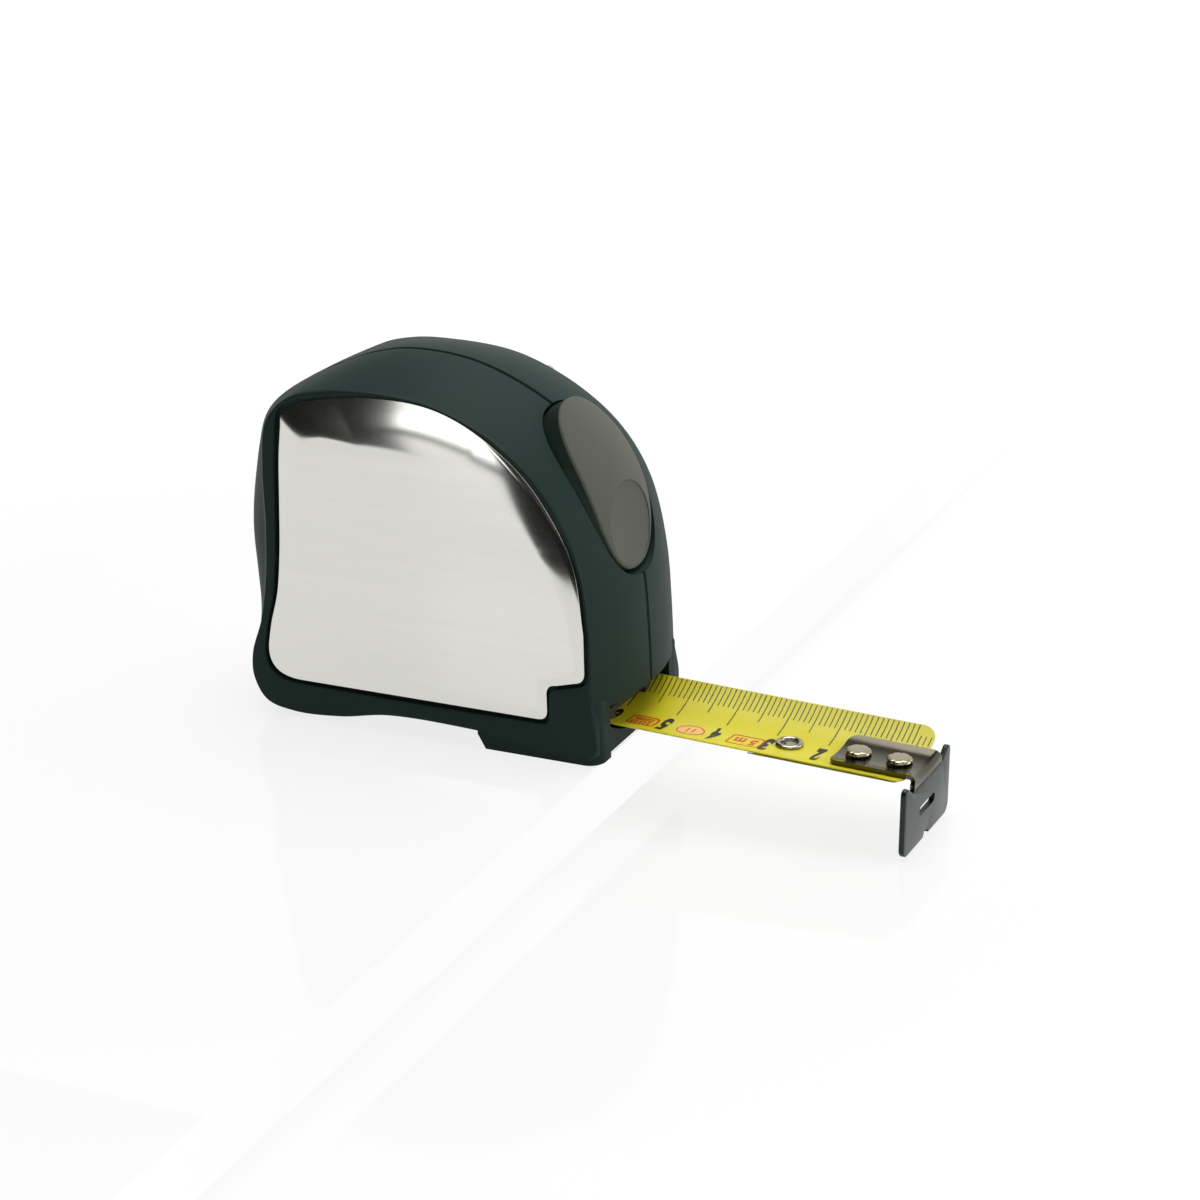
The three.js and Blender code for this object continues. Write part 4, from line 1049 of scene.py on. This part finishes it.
CARRIED = {
    "drum_plastic": ["drum", "drum_cover"], "post_plastic": ["centre_post"],
    "coil_yellow": ["blade_coil", "blade_lead"], "spring_steel": ["power_spring"],
    "wire_steel": ["button_spring"], "pad_rubber": ["brake_pad"], "clip_steel": ["belt_clip"],
    "screw_steel": ["button_pin", "clip_screw", "case_screw_rear_top", "case_screw_rear_bottom",
                    "case_screw_front"],
}
for look_name, node_names in CARRIED.items():
    for node_name in node_names:
        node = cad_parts[node_name]
        node.data.materials.clear()
        node.data.materials.append(looks[look_name])
        smooth(node, 30)

# -------------------- stage


def floor_material(name, own_light, grey):
    """A pale floor with a faint sheen, near white to the camera and in metal, that keeps the shadow."""
    made, tree, plain = new_material(name)
    tree.nodes.remove(plain)
    rays = add_node(tree, "LightPath").outputs
    seen = add_node(tree, "Math", {0: rays["Is Camera Ray"], 1: rays["Is Glossy Ray"]},
                    operation="MAXIMUM")
    share = add_node(tree, "Math", {0: seen.outputs[0], 1: own_light}, operation="MULTIPLY")
    away = add_node(tree, "VectorMath", {0: add_node(tree, "TexCoord").outputs["Object"]},
                    operation="LENGTH")
    whiter = add_node(tree, "MapRange", {"Value": away.outputs["Value"], "From Min": 0.12,
                                         "From Max": 0.5, "To Min": 1.04, "To Max": 1.26})
    matt = add_node(tree, "BsdfDiffuse", {"Color": (grey, grey, grey, 1)})
    white = add_node(tree, "Emission", {"Strength": whiter.outputs["Result"]})
    body = add_node(tree, "MixShader", {0: share.outputs[0], 1: matt.outputs[0], 2: white.outputs[0]})
    gloss = add_node(tree, "Fresnel", {"IOR": 1.25})
    faint = add_node(tree, "Math", {0: gloss.outputs[0], 1: 0.05}, operation="MINIMUM")
    sheen = add_node(tree, "BsdfGlossy", {"Roughness": 0.08})
    whole = add_node(tree, "MixShader", {0: faint.outputs[0], 1: body.outputs[0], 2: sheen.outputs[0]})
    feed(tree, tree.nodes["Material Output"], {"Surface": whole.outputs[0]})
    return made


FLOOR_LEVEL = -11.6
FLOOR_REACH = 3000
pale = floor_material("floor", 0.82, 0.88)
step_face = floor_material("floor_step", 0.95, 0.0)


def slab(name, low, high):
    """A block of the floor, its front face in a look of its own, so that the step hardly shows."""
    obj = block(name, low, high)
    for surface in (pale, step_face):
        obj.data.materials.append(surface)
    for face in obj.data.polygons:
        face.material_index = int(face.normal.x > 0.5)


slab("floor", (-FLOOR_REACH, -FLOOR_REACH, FLOOR_LEVEL - 10), (FLOOR_REACH, FLOOR_REACH, FLOOR_LEVEL))
slab("plinth", (-FLOOR_REACH, -FLOOR_REACH, FLOOR_LEVEL), (NOSE_FRONT - 0.5, FLOOR_REACH, -HAIR))


def soft_box(name, at, toward, width, height, radiance, lights_matt=True):
    """A soft box of an even radiance at a point, facing another, in mm."""
    data = bpy.data.lights.new(name, "AREA")
    data.shape = "RECTANGLE"
    data.size = width * MM
    data.size_y = height * MM
    data.energy = radiance * math.pi * width * height * MM ** 2
    obj = bpy.data.objects.new(name, data)
    obj.location = Vector(at) * MM
    obj.rotation_mode = "QUATERNION"
    obj.rotation_quaternion = (Vector(toward) - Vector(at)).to_track_quat("-Z", "Y")
    obj.visible_camera = False
    obj.visible_diffuse = lights_matt
    bpy.context.scene.collection.objects.link(obj)


soft_box("top_box", (50, 150, 650), (0, 0, 30), 600, 600, 3.8)
soft_box("front_box", (-200, -640, 150), (0, 0, 60), 330, 300, 1.5)
soft_box("side_box", (560, 200, 170), (30, 0, 30), 300, 300, 2.0)
soft_box("edge_box", (360, -600, 320), (20, 0, 45), 360, 420, 1.6, lights_matt=False)

flag_look, flag_tree, flag_shader = new_material("flag")
feed(flag_tree, flag_shader, {"Base Color": (0.01, 0.01, 0.01, 1), "Specular IOR Level": 0})


def flag(name, low, high):
    """A black board that only the shiny surfaces see."""
    board = block(name, low, high)
    board.data.materials.append(flag_look)
    board.visible_camera = False
    board.visible_diffuse = False
    board.visible_shadow = False


flag("low_flag", (-101, -202, 33), (-30, -200, 41))
flag("left_flag", (-500, -203, 0), (-101, -201, 150))
flag("right_flag", (-22, -152, 0), (200, -150, 60))


def light_world():
    """White to the camera; to all else a grey ramp, bright behind on the right and dark overhead."""
    world = bpy.data.worlds.new("studio")
    bpy.context.scene.world = world
    world.use_nodes = True
    tree = world.node_tree
    ray = add_node(tree, "TexCoord").outputs["Generated"]
    bright_side = Vector((0.58, 0.78, 0.2)).normalized()
    toward = add_node(tree, "VectorMath", {0: ray, 1: bright_side}, operation="DOT_PRODUCT")
    half = add_node(tree, "MapRange", {"Value": toward.outputs["Value"], "From Min": -1})
    ramp = add_node(tree, "ValToRGB", {"Fac": half.outputs["Result"]})
    stops = ramp.color_ramp.elements
    stops[0].color = (0.02, 0.02, 0.02, 1)
    stops[1].color = (1, 1, 1, 1)
    for position, value in ((0.4, 0.05), (0.6, 0.5), (0.75, 0.95)):
        stops.new(position).color = (value, value, value, 1)
    height = add_node(tree, "SeparateXYZ", {"Vector": ray}).outputs["Z"]
    overhead = add_node(tree, "MapRange", {"Value": height, "From Min": 0.5, "From Max": 0.72,
                                           "To Min": 1, "To Max": 0.12})
    shade = add_node(tree, "Mix", {"Factor": overhead.outputs["Result"], "A": (0, 0, 0, 1),
                                   "B": ramp.outputs["Color"]}, data_type="RGBA")
    seen = add_node(tree, "LightPath").outputs["Is Camera Ray"]
    pick = add_node(tree, "Mix", {"Factor": seen, "A": shade.outputs["Result"], "B": (1, 1, 1, 1)},
                    data_type="RGBA")
    feed(tree, tree.nodes["Background"], {"Color": pick.outputs["Result"]})


light_world()

# -------------------- camera

AZIMUTH, ELEVATION, ROLL = math.radians(26.29), math.radians(21.55), math.radians(-1.86)
DISTANCE, LENS, SENSOR = 600, 98.8, 36
TARGET = Vector((27.44, 0, 24.76))


def aim_camera():
    """The camera at a distance and a bearing from the target, tipped a little to one side."""
    back = Vector((math.sin(AZIMUTH) * math.cos(ELEVATION), -math.cos(AZIMUTH) * math.cos(ELEVATION),
                   math.sin(ELEVATION)))
    right = Vector((math.cos(AZIMUTH), math.sin(AZIMUTH), 0))
    up = back.cross(right)
    across = right * math.cos(ROLL) + up * math.sin(ROLL)
    upward = -right * math.sin(ROLL) + up * math.cos(ROLL)
    turn = Matrix((across, upward, back)).transposed().to_4x4()
    camera = bpy.data.objects.new("camera", bpy.data.cameras.new("camera"))
    camera.data.lens = LENS
    camera.data.sensor_width = SENSOR
    camera.matrix_world = Matrix.Translation((TARGET + back * DISTANCE) * MM) @ turn
    bpy.context.scene.collection.objects.link(camera)
    bpy.context.scene.camera = camera


aim_camera()
bpy.context.scene.view_settings.view_transform = "Standard"
